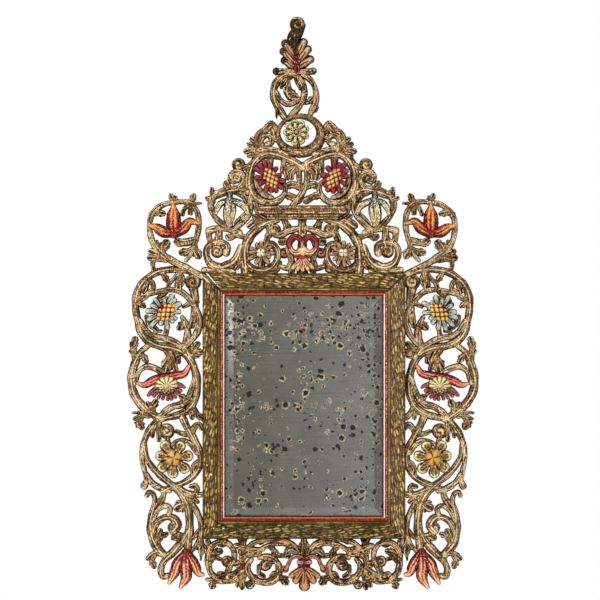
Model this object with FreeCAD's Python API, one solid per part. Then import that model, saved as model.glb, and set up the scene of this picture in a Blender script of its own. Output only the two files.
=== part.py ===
"""A carved giltwood wall mirror: a mitred frame round a bevelled glass, with openwork
wings, crest, finial and apron pegged to its edges, and a hanging ring at the back.

Millimetres. X runs to the right, Z up, and the wall is the plane Y = 0 behind it,
so the viewer stands on the -Y side. The origin is the middle of the glass, on the wall.
"""
import FreeCAD
import Part
import math
import os

V = FreeCAD.Vector

# Driving sizes
SIGHT_W = 330.0        # glass seen inside the slips
SIGHT_H = 462.0
SLIP_W = 11.0          # red sight slip
RAIL_W = 37.0          # face of a frame rail
FRAME_DEPTH = 34.0
SQUARE = 2.1           # one square of the carver's cartoon
PANEL_T = 22.0         # carved boards
PANEL_BACK = 6.0       # from the wall to the back of a carved board
FLOWER_T = 7.0         # petals laid on a board
BOSS_H = 8.0           # a flower's boss above its petals
GLASS_T = 4.0
GLASS_COVER = 9.0      # how far a slip covers the glass
SILVER_T = 0.3
BEVEL_W = 17.0
BEVEL_D = 1.6
SLIP_FRONT = 31.0
SLIP_T = 14.0
SLIP_CROWN = 4.0       # from a slip's outer edge to the highest line of its bead
SLIP_ROUND = 8.0       # fall of the bead towards the glass
EDGE_ROUND = 8.0       # softened outer edge of a rail
EDGE_FALL = 4.0
FILLET_W = 11.0        # plain fillet along a rail's inner edge
FILLET_D = 2.0
BOARD_T = 10.0
REBATE_W = 8.0
BLOCK_W = 12.0         # blocks that press on the glass
BLOCK_L = 40.0
PEG_D = 5.0
PEG_L = 22.0
KEY_L = 30.0           # loose key across a mitre
KEY_W = 12.0
KEY_T = 6.0
KEY_INSET = 17.0       # from a rail's outer edge to the middle of the key
KEY_SINK = 8.0         # from the front of the frame to the middle of the key
NAIL_HEAD = 6.0
NAIL_HEAD_T = 1.6
NAIL_SHANK = 2.0
NAIL_L = 18.0
BAR_H = 9.0            # the crest's bar and its ledge in front of the board
LEDGE_H = 6.0
RING_BORE = 17.0
RING_WIRE = 4.0
RING_PLAY = 0.4
STAPLE_BAR = 3.0
STAPLE_L = 12.0        # how far the staple's legs go into the rail
STAPLE_DROP = 7.0      # from the top of the frame to the staple's eye

# Sizes that follow
FRAME_W = SIGHT_W + 2 * (SLIP_W + RAIL_W)
FRAME_H = SIGHT_H + 2 * (SLIP_W + RAIL_W)
PANEL_FRONT = PANEL_BACK + PANEL_T
FLOWER_FRONT = PANEL_FRONT + FLOWER_T
GLASS_FRONT = SLIP_FRONT - SLIP_T
GLASS_BACK = GLASS_FRONT - GLASS_T
GLASS_W = SIGHT_W + 2 * GLASS_COVER
GLASS_H = SIGHT_H + 2 * GLASS_COVER
BOARD_W = FRAME_W - 2 * (RAIL_W - REBATE_W)
BOARD_H = FRAME_H - 2 * (RAIL_W - REBATE_W)

# The cartoon is squared paper, counted from its top left corner: the frame's middle is at
# column 304, row 406, and the frame is drawn 202.86 by 265.71 squares. Strokes keep their
# width when the frame changes size, and their middle lines stretch with it.
MIDDLE = (304.0, 406.0)
DRAWN = (202.857, 265.714)
STRETCH_X = FRAME_W / (DRAWN[0] * SQUARE)
STRETCH_Z = FRAME_H / (DRAWN[1] * SQUARE)
LEAN_ROW = 560.0       # the right wing leans from this row upwards
CREST_AXIS = 302.3     # the crest leans a little to the left of the frame's middle
RING_AXIS = 300.2      # and the shoulders beside its ring a little more
SHELL_AXIS = 302.8
FLOWER_AXIS = 304.5    # of the apron's flower
WING_LEAN = 0.6        # degrees that the right wing leans inwards
GRID = 1.0             # spacing of the points at which an outline is sought
CHORD = 1.3            # how far a carved outline may stray from its curve
PINHOLE = 70.0         # holes of a smaller area stay filled
OUTSIDE = -9.0         # value of the outline's field away from every stroke
SPARE = 2.0            # how far a cutter reaches past what it cuts
BLOCK_ROWS = 0.36      # blocks and nails stand at this share of the height and
BLOCK_COLUMNS = 0.3    # this share of the width from the middle

# Ovals and hearts of the flowers in squares: middle, then half its length and half its width
RING_OUT, RING_OUT_HALF = (300.5, 135.3), (23.4, 22.2)
RING_EYE, RING_EYE_HALF = (298.0, 133.0), (16.2, 13.3)
BLUE_HEART, BLUE_HEART_HALF, BLUE_HEART_LEAN = (166.3, 312.3), (11.5, 6.3), 38.0
RED_HEART, RED_HEART_HALF = (166.7, 386.3), (9.8, 9.2)
CREAM_HEART, CREAM_HEART_HALF = (174.0, 458.0), (8.6, 8.6)
CREST_HEART, CREST_HEART_HALF, CREST_HEART_LEAN = (270.5, 179.5), (10.0, 5.2), 117.0
SHELL_HEART, SHELL_HEART_HALF = (302.8, 253.0), (6.5, 4.0)
APRON_HEART, APRON_HEART_HALF = (304.5, 567.5), (7.0, 5.0)
SMALL_ROSETTE, SMALL_HEART_HALF = (261.0, 252.7), (5.2, 5.2)
TOP_ROSETTE, TOP_HEART_HALF = (296.5, 132.5), (4.7, 4.7)

# Rings of petals: reach and width in squares, count and the first one's angle
SMALL_PETALS = (7.6, 6.2, 8, 0.0)
TOP_PETALS = (9.6, 7.0, 9, 20.0)

# Top left and bottom right corners of the crest's bar, in squares, and of the ledge under it
BAR = ((257.0, 205.2), (347.6, 214.9))
LEDGE = ((268.0, 214.9), (336.6, 219.6))

WING = """
174,202 163,204.5 154.5,210.5 150,219 149.3,229 151.5,240 157,249.5 165.5,256.5 177,263.5 188,269 \
197,274 204,278 ; 5 5 7 6
174,202 184,201.5 191.5,204 196.3,210.5 198.5,219 198.2,229 196,239 193,248 190,255 185.5,260.5 ; \
4.5 5 5 3
174,203 172.5,199 170.7,195.3 ; 4 4.5
187,202.5 191.5,199.5 193.5,195.7 ; 3.5 5
186,203 193,203.3 200.5,203 ; 5 2
191,204 185.5,207 183,211 182.2,214 ; 4.5 4
151,214 157,212.5 162.5,213.3 ; 5 5.5
163,256 162.5,248.5 166,243 ; 5 7.5
196,239.5 188,242.5 181,243 176,239.5 ; 4 6 3
193.5,248.5 187,251.5 181.5,252.3 ; 5 6
194.5,245 195.5,251 198,255.5 ; 4 7
165,258 157,254 151,251.7 ; 5 6
166,260 157,258.3 150,257.7 ; 5 6.5
154,258 152.3,264 153.5,271 ; 4.5 4
181,243 176,239 173.5,232 ; 5 4
204,277 194,272.5 183,270 170,269.5 157,272 146.5,278.5 139.5,286.5 136,296.5 135.3,308 137.5,320.5 \
141,332 148,341 159,346 171,348 182,352 189.5,359.5 194.5,370 196.8,382 196.3,394 193,404 186.5,411 \
177,415.5 167,418 159,420 153,425 147.5,433 143.5,443 142,454 ; 6 6 7 7 8 8 7 7 6 6
193,288 195,297 196,307 ; 9 5
146,279.5 151.5,282.5 153,288 149,292.5 144,296.5 ; 5 5 4
137,301 140.5,304 143.3,306.2 ; 5.5 4.5
148,294 158,291.8 169,289.8 179,291 187,296.5 193.5,304.5 198.2,314 199.5,323 197,332 191.5,340 \
184,347.5 ; 4.5 5.5 5.5 6 6
161,271 164,276 166.5,280 ; 5 5
179,271.5 174,278 169,283.5 167,289 ; 4.5 3.5
180,271.5 178.7,280 178,290 ; 6 6
165,291.5 159.5,296.5 155.5,302.5 ; 5.5 3
184,348 187.2,336 186.7,326 182,317.5 ; 7 7 4
187,326 182.5,324.5 179.3,327.7 ; 4 6
140,321 146,330.5 154,336.5 163,338 173,341.5 183.5,348.5 190,357 ; 5 5 6 6
164,339 165.8,333 166.5,326 166,314 ; 5 4
187,350 193,349.5 197.3,344.3 ; 7 5.5
188,353.5 195,352.7 204,352 ; 6.5 5
135.5,363 134,353 133,346 134.7,339.5 ; 7 6 4.5 6
147,346.5 140,352.5 135.5,361 132.3,371 131,382 133,392.5 138.3,402 145.5,409.5 153,415 161,419.5 ; \
5 7 8 8 7.5 7
138,356 143,356.5 145.7,361 ; 5.5 5
134.5,383 138.5,372 146,366.7 154,368.3 161,372 166,375.5 ; 5 5 6 6
167,350 172,359 175.3,369.5 ; 9 5
170,356 166.7,361.5 164.3,365.3 ; 6 6.5
195,377 191.5,389 187.7,398 181,404.7 173,406.7 165,411.5 158.5,418.5 ; 4 5.5 7 6 6
153,415 149.5,408.5 147,404.3 ; 5 5
153,414 152.7,407 155,402.5 ; 4.5 6
150,413.5 142,412.7 133,413.2 ; 4.5 2.5
148,416.5 140.5,416.3 134,419 ; 4.5 3
141,418 138.5,423.5 141,427 ; 4.5 6.5
192,408 197,415 204,419.5 ; 6.5 5
191,435 194,428 198.5,424.7 201.5,429 ; 5 6 3.5
157.5,420 153.3,429 152.2,436.3 ; 5 4
158.5,420 158.3,431 158.6,440.3 ; 6 4
166,374 167,386 ; 6 5
182,417 186,426 190.3,433.5 195,442 199,450.5 200.3,460 198.3,469 192.3,477 182.5,483.5 172,487.5 \
163,491 ; 7 7 6.5 6 6 6 6
190.5,434.5 183,434.3 176,431.7 ; 6 3.5
171,446 176,442 184,441 191,445 197,453 ; 3.5 5 5
166.5,437 169,447 174,458 ; 5 5
199.5,462 194.5,464.5 192,470 193.3,475 ; 5.5 4.5 4
143.5,443 146,457 151.5,467 160,476 168.5,483 177,490 184.5,499 188,509 189.3,521 189,533 188,544 \
187,553 ; 5 5 6 7 8 8 8 7
142,450 142,462 144.7,473 146,481 143.7,486.7 ; 5 4.5 4.5 6.5
145.5,474 151.5,483 160.5,489 169,491.3 ; 4.5 6 5
178,489 187,494 195.5,495.5 204,494.7 ; 6 7 5
194,495 197,490 195,486.3 191,487 ; 5 4.5
189,501 196.5,512 200.7,523.5 201,535 197,545 190.5,552.5 ; 6 5.5 5.5 5 4
200.5,537 200.7,545 201.3,552 ; 5 7
201,551 200.6,560.5 ; 4 1.2
164,490 162.5,498 157,506.5 ; 5.5 5.5
146.5,496 148.5,492.3 152.7,494.5 154.5,501.5 152.5,511 150.7,521 150.8,531 153,541 157.5,549 \
163,555 ; 4 4 5 6 7 8 9 9 7
152,521 157,511 165,506.3 170,509.5 168.7,514.5 ; 5.5 5 5 4.5
153,532 157,523 165,517.8 173,519 177,525.5 173.5,530.5 ; 5.5 6 6.5 8 10
157,547 157.7,538 160,531.5 ; 6 4.5
161,553.5 153.5,554.3 147.8,559 ; 6 4.5
155,555 151.8,561.5 153.5,567 ; 4 5
188,531 181.5,542.5 173,552.5 165,560 160.7,569 162,577 167,576.7 ; 5 7 8 7 6 5.5
184,537 178.5,536 174,538.3 ; 4.5 6.5
187,550 186.5,558 186,566 ; 6 6
187,502 182,505.5 178,508 ; 4 9
192.8,282 ; 15.6
166.5,431.5 ; 15.2
172.5,528 ; 10
"""

CREST = """
240.5,247 237.5,256.5 231,264 221,267.7 211.5,264.7 206.5,256.5 207,247.5 213,242.7 221,242.5 \
227,246 226,252.5 ; 5 6 6 6 5.5 5 5 5 6 7
203.8,270 215,271 233,271.5 ; 5 5
246,274 245,260 245.5,247 250,236.5 257,228.7 266,223 277,219.5 ; 8 9 8.5 8 7 6
239,232.5 228,229.3 217,228.3 208.7,230.7 ; 6 4.5 4.5 6.5
219,229 218.7,236 217.7,243 ; 5 6.5
208.5,232 209.3,239 211.5,246 ; 5 4.5
249,237.5 241,236 235.5,233 ; 5 4.5
216,193.5 211.5,199.5 210.8,207 213.7,215 219.3,221.7 228,228 ; 6 5.5 5 5 5
252.5,191 250.3,200 250.5,208.5 247.5,216.3 241,223 233,229.5 ; 6 4.5 4.5 5 5
266,222.5 256.5,221 249.7,225.5 ; 6.5 5.5
247,264 254,269.5 263,270.5 271.5,267 277,259.5 277.3,251 273,245 267.5,244.7 ; 6 7 7 6 5 5.5 7 8
268,222.5 269.5,231 266.5,240 ; 6.5 5.5 5
272,221 270.7,228 274.5,234 282,234.3 288,231 299,228 ; 5 5 5.5 6 6 4.5
284,219 286,224 288,229 ; 5 6
291,240 288,250 291.5,260 288,268 282.5,267 ; 5 5 5 5 4
291.5,260 292,267 291,274 ; 5 5
291,240 296.5,236.5 302.3,240 ; 4.5 4.5
212.5,198 211.5,192.5 211.6,188.7 ; 4.5 3
247,191.5 237,189.5 228,191.5 219.5,194.5 214,196.5 ; 7 7.5 6 5
213,197 220,191.7 227,189 234,188 ; 4 4.5 5
229,190 226.3,184 ; 4.5 6.5
234,189.5 241,186 244,178.7 240.7,172.7 233.7,172.2 230.2,177.5 233.3,181.7 237,179.5 ; 4.5 5 5 5 5 4.5 4
253,163 246.5,166.8 241,168.3 ; 5 4
263,202 254.5,196.5 249.7,187.5 249.2,176.5 251.7,166.5 256.7,159 264.5,154.3 274.5,154.3 285,157.5 \
295,162 302.3,167 ; 6.5 9 8.5 7.5 8 8 7.5 7 7 7
262,201.5 270.5,202.8 278.5,200 284,194 285.3,187.5 283,182 ; 6 6.5 6.5 5 4 3
298,165.5 291,166 286,170.7 287.3,177.3 ; 5 6 4.5
284,158 283.3,165 283,170.5 ; 5 4.5
301,187 293,184.3 287,185.7 ; 7 5.5
298,200 291.5,196.5 286.7,195.2 ; 7 5.5
229,228.5 228.5,218 228,208 ; 6 5
270,157 270,168 271,180 ; 6 6
262,270 261.5,262 261,253 ; 6 6
217,251.5 ; 11.6
235.5,232.7 ; 9.4
275.7,229.3 ; 9.2
285,253 ; 10
236.5,178 ; 9
238.5,164.5 ; 12.4
"""

CREST_SHOULDERS = """
263,148 256,141.7 251.7,138.7 ; 5 3.5
262,150.5 254.5,146 248.7,143.7 ; 5 3.5
259,153 251.5,149.5 246,151 ; 5 4.5
260,148 268,148.5 277,150.5 286,154 ; 5 5 4.5
257,139 260,133.3 266,129 270.7,123.7 ; 5.5 6 6 5.5
262.5,149 261,140 265.3,135.3 271,136.7 271.3,142 267.5,144 ; 5 4.5 4.5 5 5
274,121 278.5,125.5 280.5,132 ; 4.5 6 6
"""

CREST_ONCE = """
302.3,214 302.3,222 302.3,230 302.3,239 ; 10 6.5 9.5 5
302.3,236 302.3,256 302.3,274 ; 6 10 10
306,164 307.5,175 305,187 299.5,197 292.5,206 ; 6 5 5 5 5
298.5,165 299.3,177 300.7,189 ; 5.5 4.5 3.5
260,209 344.6,209 ; 6 6
260,215 344.6,215 ; 6 6
"""

APRON = """
216,579 210.3,573 208,563 208.5,553 213,545.5 221,542.3 229,545 233.5,551.5 234,559 231,565 228,571 \
227.5,577 ; 6 6 6 6 5.5 5.5 5 5 6 6
210.5,557 215,553 220,552 ; 4.5 5.5
210.5,551 208.5,545 207.3,540 207.5,536.5 ; 4 5 5 4
222,543 222,537 ; 10 10
206.5,580.3 213,581 222,582 231,581.5 237,578 242,572 ; 2.5 5 5.5 5.5 5
214.5,582 212.5,585 212,587 ; 4 5.5
219.5,575.5 227,576.5 235,574.5 243,568.5 ; 6.5 6 5
243,572 239.5,579 237.5,586 ; 6 5 4
244.5,573 242.5,581 242,588 ; 6 5 5
255,578 253,582.5 250,586 ; 5 5
243.5,575 242,566 242.5,557.5 247,552 ; 5.5 5 6
236,546.5 245,548.5 254,550.3 263,550 ; 5 6 6 4
242,557.5 250,555 259,553.5 ; 6 6 5
243.3,549 242.5,543 242.3,537 ; 6 6.5 7
246.5,550 253,544 262,540.8 273,539.8 284,541 292,545 297,551 299.5,557 ; 4 5 5 4.5 6 6 6 5
258,553.5 264,548 273,544.8 282,544 290,546.5 ; 4 4.5 5 4
270,547 274.5,552 275,558 ; 5 5 6
276,556 283,556.5 289,557 ; 4 4.5 4
291,547 287.5,551 287,556 ; 5 5 5
259.5,558 268,557.5 275.3,561 279,568 278,576 272,581.5 263,583 254.5,580 248.5,573 247.5,566 \
251,560.5 ; 5 6 6 6.5 6.5 7 7 6.5 6 5 5
274,561 269,563 265,566 ; 5 8
259,567 259,573.5 263.5,577 ; 4 4
278.5,579 283,579.5 286,582.8 ; 5 6 6.5
260,541 266,537 ; 8 8
227,562 ; 11
249.5,585.5 ; 8.6
241,552.5 ; 6
265,566 ; 11
"""

APRON_ONCE = """
304,537 304,545 304,556 ; 6.5 5 9
304,556 304,566 304,576 ; 10 12 10
"""

FINIAL = """
292,72 283,75.5 276.5,82 273.6,90 274,98 276.5,104.5 280.5,110.5 284.5,117 ; 5 6 7 6.5 7 7 6
277.5,106 276.8,112 276.4,117.3 ; 5 3 1.2
303,74 310,79 314.8,87 316.3,96 315,104 311,112 309,117 ; 6 5.5 5 5 6 6 5
289,118 294,112 299,106.5 303,99.5 304.3,91 302.5,83 298,77 291,74 ; 6 6 5.5 6 6 5.5 5
276.5,92 280,99 286,103.3 293,103 298,99.5 ; 4 4.5 5 5
288,91 292.5,95.5 297,97.5 ; 9 12 6
288.5,92 288,86 288.3,81 ; 7 6.5 4
290,76 284,79.5 281.5,86.5 ; 6 7 3.5
304,102 309,101 313,97.5 ; 4 5 5
277,71.3 285,70.8 295,71.5 305,71.5 313,70.5 ; 6 5 6 6 6
297,66 296,56 294.5,46 294.5,37 298,30.5 301,25 ; 20 18 14 13 10.5 9
293,56 289,49 284.8,42.8 ; 6 6 5.5
292,62 287.5,55.5 282.8,51 ; 6 6 5.5
293,66 288,62.5 283.8,60.5 ; 6 6 6
298,54 302,46.5 304.5,41.5 ; 6 6.5 6
299.5,58 304.5,52.5 308,49 ; 6 6.5 6
301,64 306,60.5 310,58.5 ; 6 6.5 6
276.3,70.8 ; 8
313.3,70.5 ; 7.4
297.3,23.8 ; 14.8
"""

WING_PEGS = (277.0, 352.2, 417.2, 495.0)
CREST_PEGS = (221.0, 246.0, 302.3, 358.6, 383.6)
APRON_PEGS = (222.0, 242.4, 304.0, 365.6, 386.0)
FINIAL_PEGS = ((284.0, 119.2, -8.0), (292.6, 114.3, 38.0), (310.4, 114.6, 20.0))  # column, row, lean

ROSETTE_STALK = """
297,151 296.5,140 296,132 ; 6 6
"""

TOP_LILY = """
174,238 173.8,226 173.6,215 173.5,204.5 ; 9 13 11 2
172,236 161.5,230.5 151,226.3 ; 11 9.5 3.5
176,235 184,227.5 190,221.5 198.3,223.7 ; 11 8.5 6.5 2
"""

BLUE_FLOWER = """
157.5,318 175,306.5 ; 15 15
166,311 166,301 ; 6 7
167,311 173,298.5 ; 6 6.5
168,311 179.5,299.5 ; 6 6
170,310 181,306 ; 6 6
170,313 181,314.5 ; 7 7
168,315 173,322.5 ; 7 7
165,316 164,326 ; 6 7
163,316 156,326 ; 6 7
160,316 149,321 ; 6 7
160,314 147.5,313.5 ; 6 7
160,311 148,306.5 ; 6 6
"""

RED_FLOWER = """
166.7,386.3 ; 20
163,377 152,381.3 144.5,385 138,383.5 ; 8 9 7 2.5
168,376.5 177,375.3 184.5,373.3 188.5,367 ; 8 8.5 7 4
173,385 181,385.5 185,387.7 ; 9 7 2
159,388 151,393 147.7,396 ; 9 8 3
162,392 157,399.5 ; 7 4
165,393 162.5,401.5 ; 7 4
168,394 168.5,402 ; 7 4
171,393 174.5,400 ; 7 4
173,391 180,395.5 ; 7 4
"""

CREAM_ROSETTE = """
174,458 ; 18
174,458 165.5,446 ; 9 10
174,458 180,446.5 ; 9 11
174,458 187.7,456 ; 9 10
174,458 184.3,468 ; 9 10
174,458 173,472.5 ; 9 9.6
174,458 163,467 ; 9 10.8
174,458 161,456 ; 9 10
"""

PENDANT_LILY = """
183.5,555 177.5,563 174.3,573 169,583.3 ; 7 9 8 2
186,553 185.5,566 186,577 180.5,587.3 ; 9 11.5 10 3
189.5,555 195,565 198.5,573 202.5,574.5 ; 7 8.5 8 3
"""

CREST_RED_FLOWER = """
266.5,170.5 275.5,189 ; 11 11
271,178 263,165 ; 7 7
271,178 271,163 ; 7 7
271,178 278.5,166.5 ; 7 7
271,180 280,174.5 ; 7 6.5
271,181 280.5,183 ; 7 6.5
271,182 279,191.5 ; 7 6.5
271,182 271.5,192.5 ; 7 6.5
270,181 264,189.5 ; 7 7
270,180 261,182 ; 7 6.5
270,179 260.5,173.5 ; 7 6.5
"""

CREST_LILY = """
230,194 229,200 227,208 226.5,217 229,226 ; 5 8 9.5 8.5 4
231,201 233.5,208 232.5,216 230.5,225 ; 5 5 4.5 3
227,200.5 221,203.5 217.5,208.5 216,213 ; 5 6 5.5 3
232,200 239,203 244.5,206.5 247.5,212.5 ; 5 6.5 7 4
"""

SHELL = """
302.8,247 299.5,238.5 293.5,236.5 289.5,241 290.5,248 296,252.5 ; 7 5.5 5 5 5.5 6
302.8,251 297,253 ; 8 7
302.8,252 297.5,268 ; 8 6
302.8,252 302.8,268.6 ; 9 7
302.8,236 302.8,252 ; 4 8
"""

APRON_FLOWER = """
304.5,563 300,558.5 294.5,557.5 290.5,561 288.5,566.5 285,569.5 ; 6 5 4.5 4 5 8
304.5,567 298,565 ; 10 7
304.5,568 292.5,577.5 ; 9 6.5
304.5,570 297.5,582 ; 10 7
304.5,570 304.5,586 ; 12 12
"""


def read(text):
    """Strokes from their lines: points of the middle line, then widths spread along it."""
    strokes = []
    for line in text.strip().splitlines():
        points, widths = line.split(";")
        points = [tuple(float(v) for v in pair.split(",")) for pair in points.split()]
        strokes.append((points, [float(v) for v in widths.split()]))
    return strokes


def both(strokes, axis):
    """The strokes, and the same ones on the other side of a column."""
    return strokes + [([(2 * axis - x, y) for x, y in points], widths) for points, widths in strokes]


def to_wing(side):
    """Left wing (-1) or right wing (1): held to the outer edge of its stile."""
    edge = MIDDLE[0] - DRAWN[0] / 2

    def place(x, y):
        out = FRAME_W / 2 + (edge - x) * SQUARE
        z = (MIDDLE[1] - y) * SQUARE * STRETCH_Z
        if side > 0:
            turn = math.radians(WING_LEAN)
            foot = (MIDDLE[1] - LEAN_ROW) * SQUARE * STRETCH_Z
            out -= (z - foot) * math.sin(turn)
        return side * out, z

    return place


def to_crest(x, y):
    """Crest and finial: held to the top edge of the frame."""
    top = MIDDLE[1] - DRAWN[1] / 2
    return (x - MIDDLE[0]) * SQUARE * STRETCH_X, FRAME_H / 2 + (top - y) * SQUARE


def to_crest_right(x, y):
    """The right half of the crest, turned over about its axis."""
    return to_crest(2 * CREST_AXIS - x, y)


def to_apron(x, y):
    """Apron: held to the bottom edge of the frame."""
    foot = MIDDLE[1] + DRAWN[1] / 2
    return (x - MIDDLE[0]) * SQUARE * STRETCH_X, -FRAME_H / 2 + (foot - y) * SQUARE


def discs(strokes, place):
    """Every stroke as a close row of discs (x, z, radius) along a smooth curve."""
    row = []
    for points, widths in strokes:
        p = [place(x, y) for x, y in points]
        w = [v * SQUARE / 2 for v in widths]
        if len(p) == 1:
            row.append((p[0][0], p[0][1], w[0]))
            continue
        ends = [(2 * p[0][0] - p[1][0], 2 * p[0][1] - p[1][1])]
        tail = [(2 * p[-1][0] - p[-2][0], 2 * p[-1][1] - p[-2][1])]
        q = ends + p + tail
        curve = []
        for i in range(len(p) - 1):
            a, b, c, d = q[i:i + 4]
            n = max(2, int(math.hypot(c[0] - b[0], c[1] - b[1]) / 1.6))
            for k in range(n):
                t = k / n
                curve.append(tuple(
                    0.5 * (2 * b[j] + (c[j] - a[j]) * t
                           + (2 * a[j] - 5 * b[j] + 4 * c[j] - d[j]) * t * t
                           + (3 * b[j] - a[j] - 3 * c[j] + d[j]) * t ** 3)
                    for j in (0, 1)))
        curve.append(p[-1])
        run = [0.0]
        for (x0, z0), (x1, z1) in zip(curve, curve[1:]):
            run.append(run[-1] + math.hypot(x1 - x0, z1 - z0))
        for (x, z), s in zip(curve, run):
            t = s / run[-1] * (len(w) - 1)
            i = min(int(t), len(w) - 2) if len(w) > 1 else 0
            r = w[i] + (w[i + 1] - w[i]) * (t - i) if len(w) > 1 else w[0]
            row.append((x, z, r))
    return row


def outlines(row):
    """The closed outlines of a row of discs, outer ones anticlockwise and holes clockwise."""
    field = {}
    for x, z, r in row:
        reach = r + 1.5 * GRID
        for i in range(math.floor((x - reach) / GRID), math.ceil((x + reach) / GRID) + 1):
            dx = i * GRID - x
            for j in range(math.floor((z - reach) / GRID), math.ceil((z + reach) / GRID) + 1):
                v = r - math.hypot(dx, j * GRID - z)
                if v > field.get((i, j), OUTSIDE):
                    field[(i, j)] = v
    link = {}

    def cross(a, b):
        fa, fb = field.get(a, OUTSIDE), field.get(b, OUTSIDE)
        t = fa / (fa - fb)
        return ((a[0] + (b[0] - a[0]) * t) * GRID, (a[1] + (b[1] - a[1]) * t) * GRID)

    cells = set()
    for i, j in field:
        cells.update(((i, j), (i - 1, j), (i, j - 1), (i - 1, j - 1)))
    for i, j in cells:
        corner = ((i, j), (i + 1, j), (i + 1, j + 1), (i, j + 1))
        inside = [field.get(c, OUTSIDE) > 0 for c in corner]
        if all(inside) or not any(inside):
            continue
        leave, enter = [], []
        for k in range(4):
            a, b = corner[k], corner[(k + 1) % 4]
            if inside[k] and not inside[(k + 1) % 4]:
                leave.append((min(a, b), max(a, b)))
            if not inside[k] and inside[(k + 1) % 4]:
                enter.append((min(a, b), max(a, b)))
        if len(leave) == 2 and inside[0]:
            enter.reverse()
        for a, b in zip(leave, enter):
            link[a] = b
    loops = []
    while link:
        start, at = link.popitem()
        loop = [cross(*start)]
        while at != start:
            loop.append(cross(*at))
            at = link.pop(at)
        loops.append(loop)
    return loops


def area(loop):
    return 0.5 * sum(a[0] * b[1] - b[0] * a[1] for a, b in zip(loop, loop[1:] + loop[:1]))


def thinned(loop):
    """The same outline with only the points that its curve needs."""
    x0, z0 = loop[0]
    far = max(range(len(loop)), key=lambda k: math.hypot(loop[k][0] - x0, loop[k][1] - z0))
    keep = {0, far}
    closed = loop + loop[:1]
    stack = [(0, far), (far, len(loop))]
    while stack:
        a, b = stack.pop()
        (x0, z0), (x1, z1) = closed[a], closed[b]
        length = math.hypot(x1 - x0, z1 - z0) or 1e-9
        best, where = 0.0, None
        for k in range(a + 1, b):
            off = abs((closed[k][0] - x0) * (z1 - z0) - (closed[k][1] - z0) * (x1 - x0)) / length
            if off > best:
                best, where = off, k
        if best > CHORD:
            keep.add(where)
            stack += [(a, where), (where, b)]
    return [loop[k] for k in sorted(keep)]


def slab(loops, back, front):
    """A flat board between two distances from the wall, with its holes."""
    wires = []
    for loop in loops:
        points = [V(x, -back, z) for x, z in loop]
        wires.append(Part.makePolygon(points + points[:1]))
    face = Part.makeFace(wires, "Part::FaceMakerBullseye")
    return biggest(face.extrude(V(0, back - front, 0)))


def biggest(shape):
    return max(shape.Solids, key=lambda s: s.Volume)


def carved(strokes, place, back, front):
    """A board sawn to the outline of its strokes. Pinholes stay filled."""
    loops = [thinned(loop) for loop in outlines(discs(strokes, place)) if abs(area(loop)) > PINHOLE]
    outer = max(loops, key=area)
    return slab([outer] + [loop for loop in loops if area(loop) < 0 and len(loop) > 2], back, front)


def oval(centre, half, back, front, sides=48):
    """An oval board on the crest."""
    cx, cz = to_crest(*centre)
    turns = [2 * math.pi * k / sides for k in range(sides)]
    loop = [(cx + half[0] * SQUARE * math.cos(a), cz + half[1] * SQUARE * math.sin(a)) for a in turns]
    return slab([loop], back, front)


def box(x, y, z):
    """A box from three (low, high) pairs."""
    return Part.makeBox(x[1] - x[0], y[1] - y[0], z[1] - z[0], V(x[0], y[0], z[0]))


def prism(points, push):
    points = [V(*p) for p in points]
    return Part.Face(Part.makePolygon(points + points[:1])).extrude(V(*push))


def peg(middle, along):
    """An eight-sided peg about a point, lying along a direction."""
    axis = V(*along)
    side = V(0, 1, 0)
    up = axis.cross(side)
    start = V(*middle) - axis * (PEG_L / 2)
    r = PEG_D / 2
    ring = []
    for k in range(8):
        a = math.radians(45 * k + 22.5)
        ring.append(start + side * (r * math.cos(a)) + up * (r * math.sin(a)))
    return Part.Face(Part.makePolygon(ring + ring[:1])).extrude(axis * PEG_L)


BOSS_TIERS = ((1.0, 0.0), (0.8, 0.6), (0.35, 1.0))     # width and height, as shares


def boss(place, centre, half, tilt, sides=10):
    """A low oval boss in tiers, standing on the front of the petals."""
    cx, cz = place(*centre)
    c, s = math.cos(math.radians(tilt)), math.sin(math.radians(tilt))
    rings = []
    for wide, high in BOSS_TIERS:
        ring = []
        for k in range(sides):
            a = 2 * math.pi * k / sides
            u = half[0] * SQUARE * wide * math.cos(a)
            v = half[1] * SQUARE * wide * math.sin(a)
            ring.append(V(cx + u * c - v * s, -FLOWER_FRONT - BOSS_H * high, cz + u * s + v * c))
        rings.append(ring)
    faces = [Part.Face(Part.makePolygon(ring + ring[:1])) for ring in (rings[0], rings[-1])]
    for low, high in zip(rings, rings[1:]):
        for k in range(sides):
            quad = [low[k], low[(k + 1) % sides], high[(k + 1) % sides], high[k]]
            faces.append(Part.Face(Part.makePolygon(quad + quad[:1])))
    return closed(faces)


def closed(faces):
    """A solid from the flat faces that close it."""
    solid = Part.Solid(Part.Shell(faces))
    if solid.Volume < 0:
        solid.reverse()
    return solid


def flower(strokes, place, heart=None, half=None, tilt=0.0):
    """Petals with the boss at their heart, in one piece, laid on the front of a board."""
    body = carved(strokes, place, PANEL_FRONT, FLOWER_FRONT)
    if heart:
        body = body.fuse(boss(place, heart, half, tilt))
    return biggest(body.removeSplitter())


def petals(centre, radius, size, count, start):
    """A ring of round petals, each a short stroke from the middle outwards."""
    ring = []
    for k in range(count):
        a = math.radians(start + 360.0 * k / count)
        tip = (centre[0] + radius * math.cos(a), centre[1] - radius * math.sin(a))
        ring.append(([centre, tip], [size * 0.8, size]))
    return ring


def mitred(section, length, width):
    """A bar with a section of (from its outer edge, from the wall) points, cut to mitres."""
    reach = length / 2
    bar = prism([(-reach - SPARE, -d, e) for e, d in section], (length + 2 * SPARE, 0, 0))
    corners = [(-reach, 0), (reach, 0), (reach - width, width), (width - reach, width)]
    keep = prism([(x, SPARE, z) for x, z in corners], (0, -FRAME_DEPTH - 2 * SPARE, 0))
    return bar.common(keep)


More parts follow.
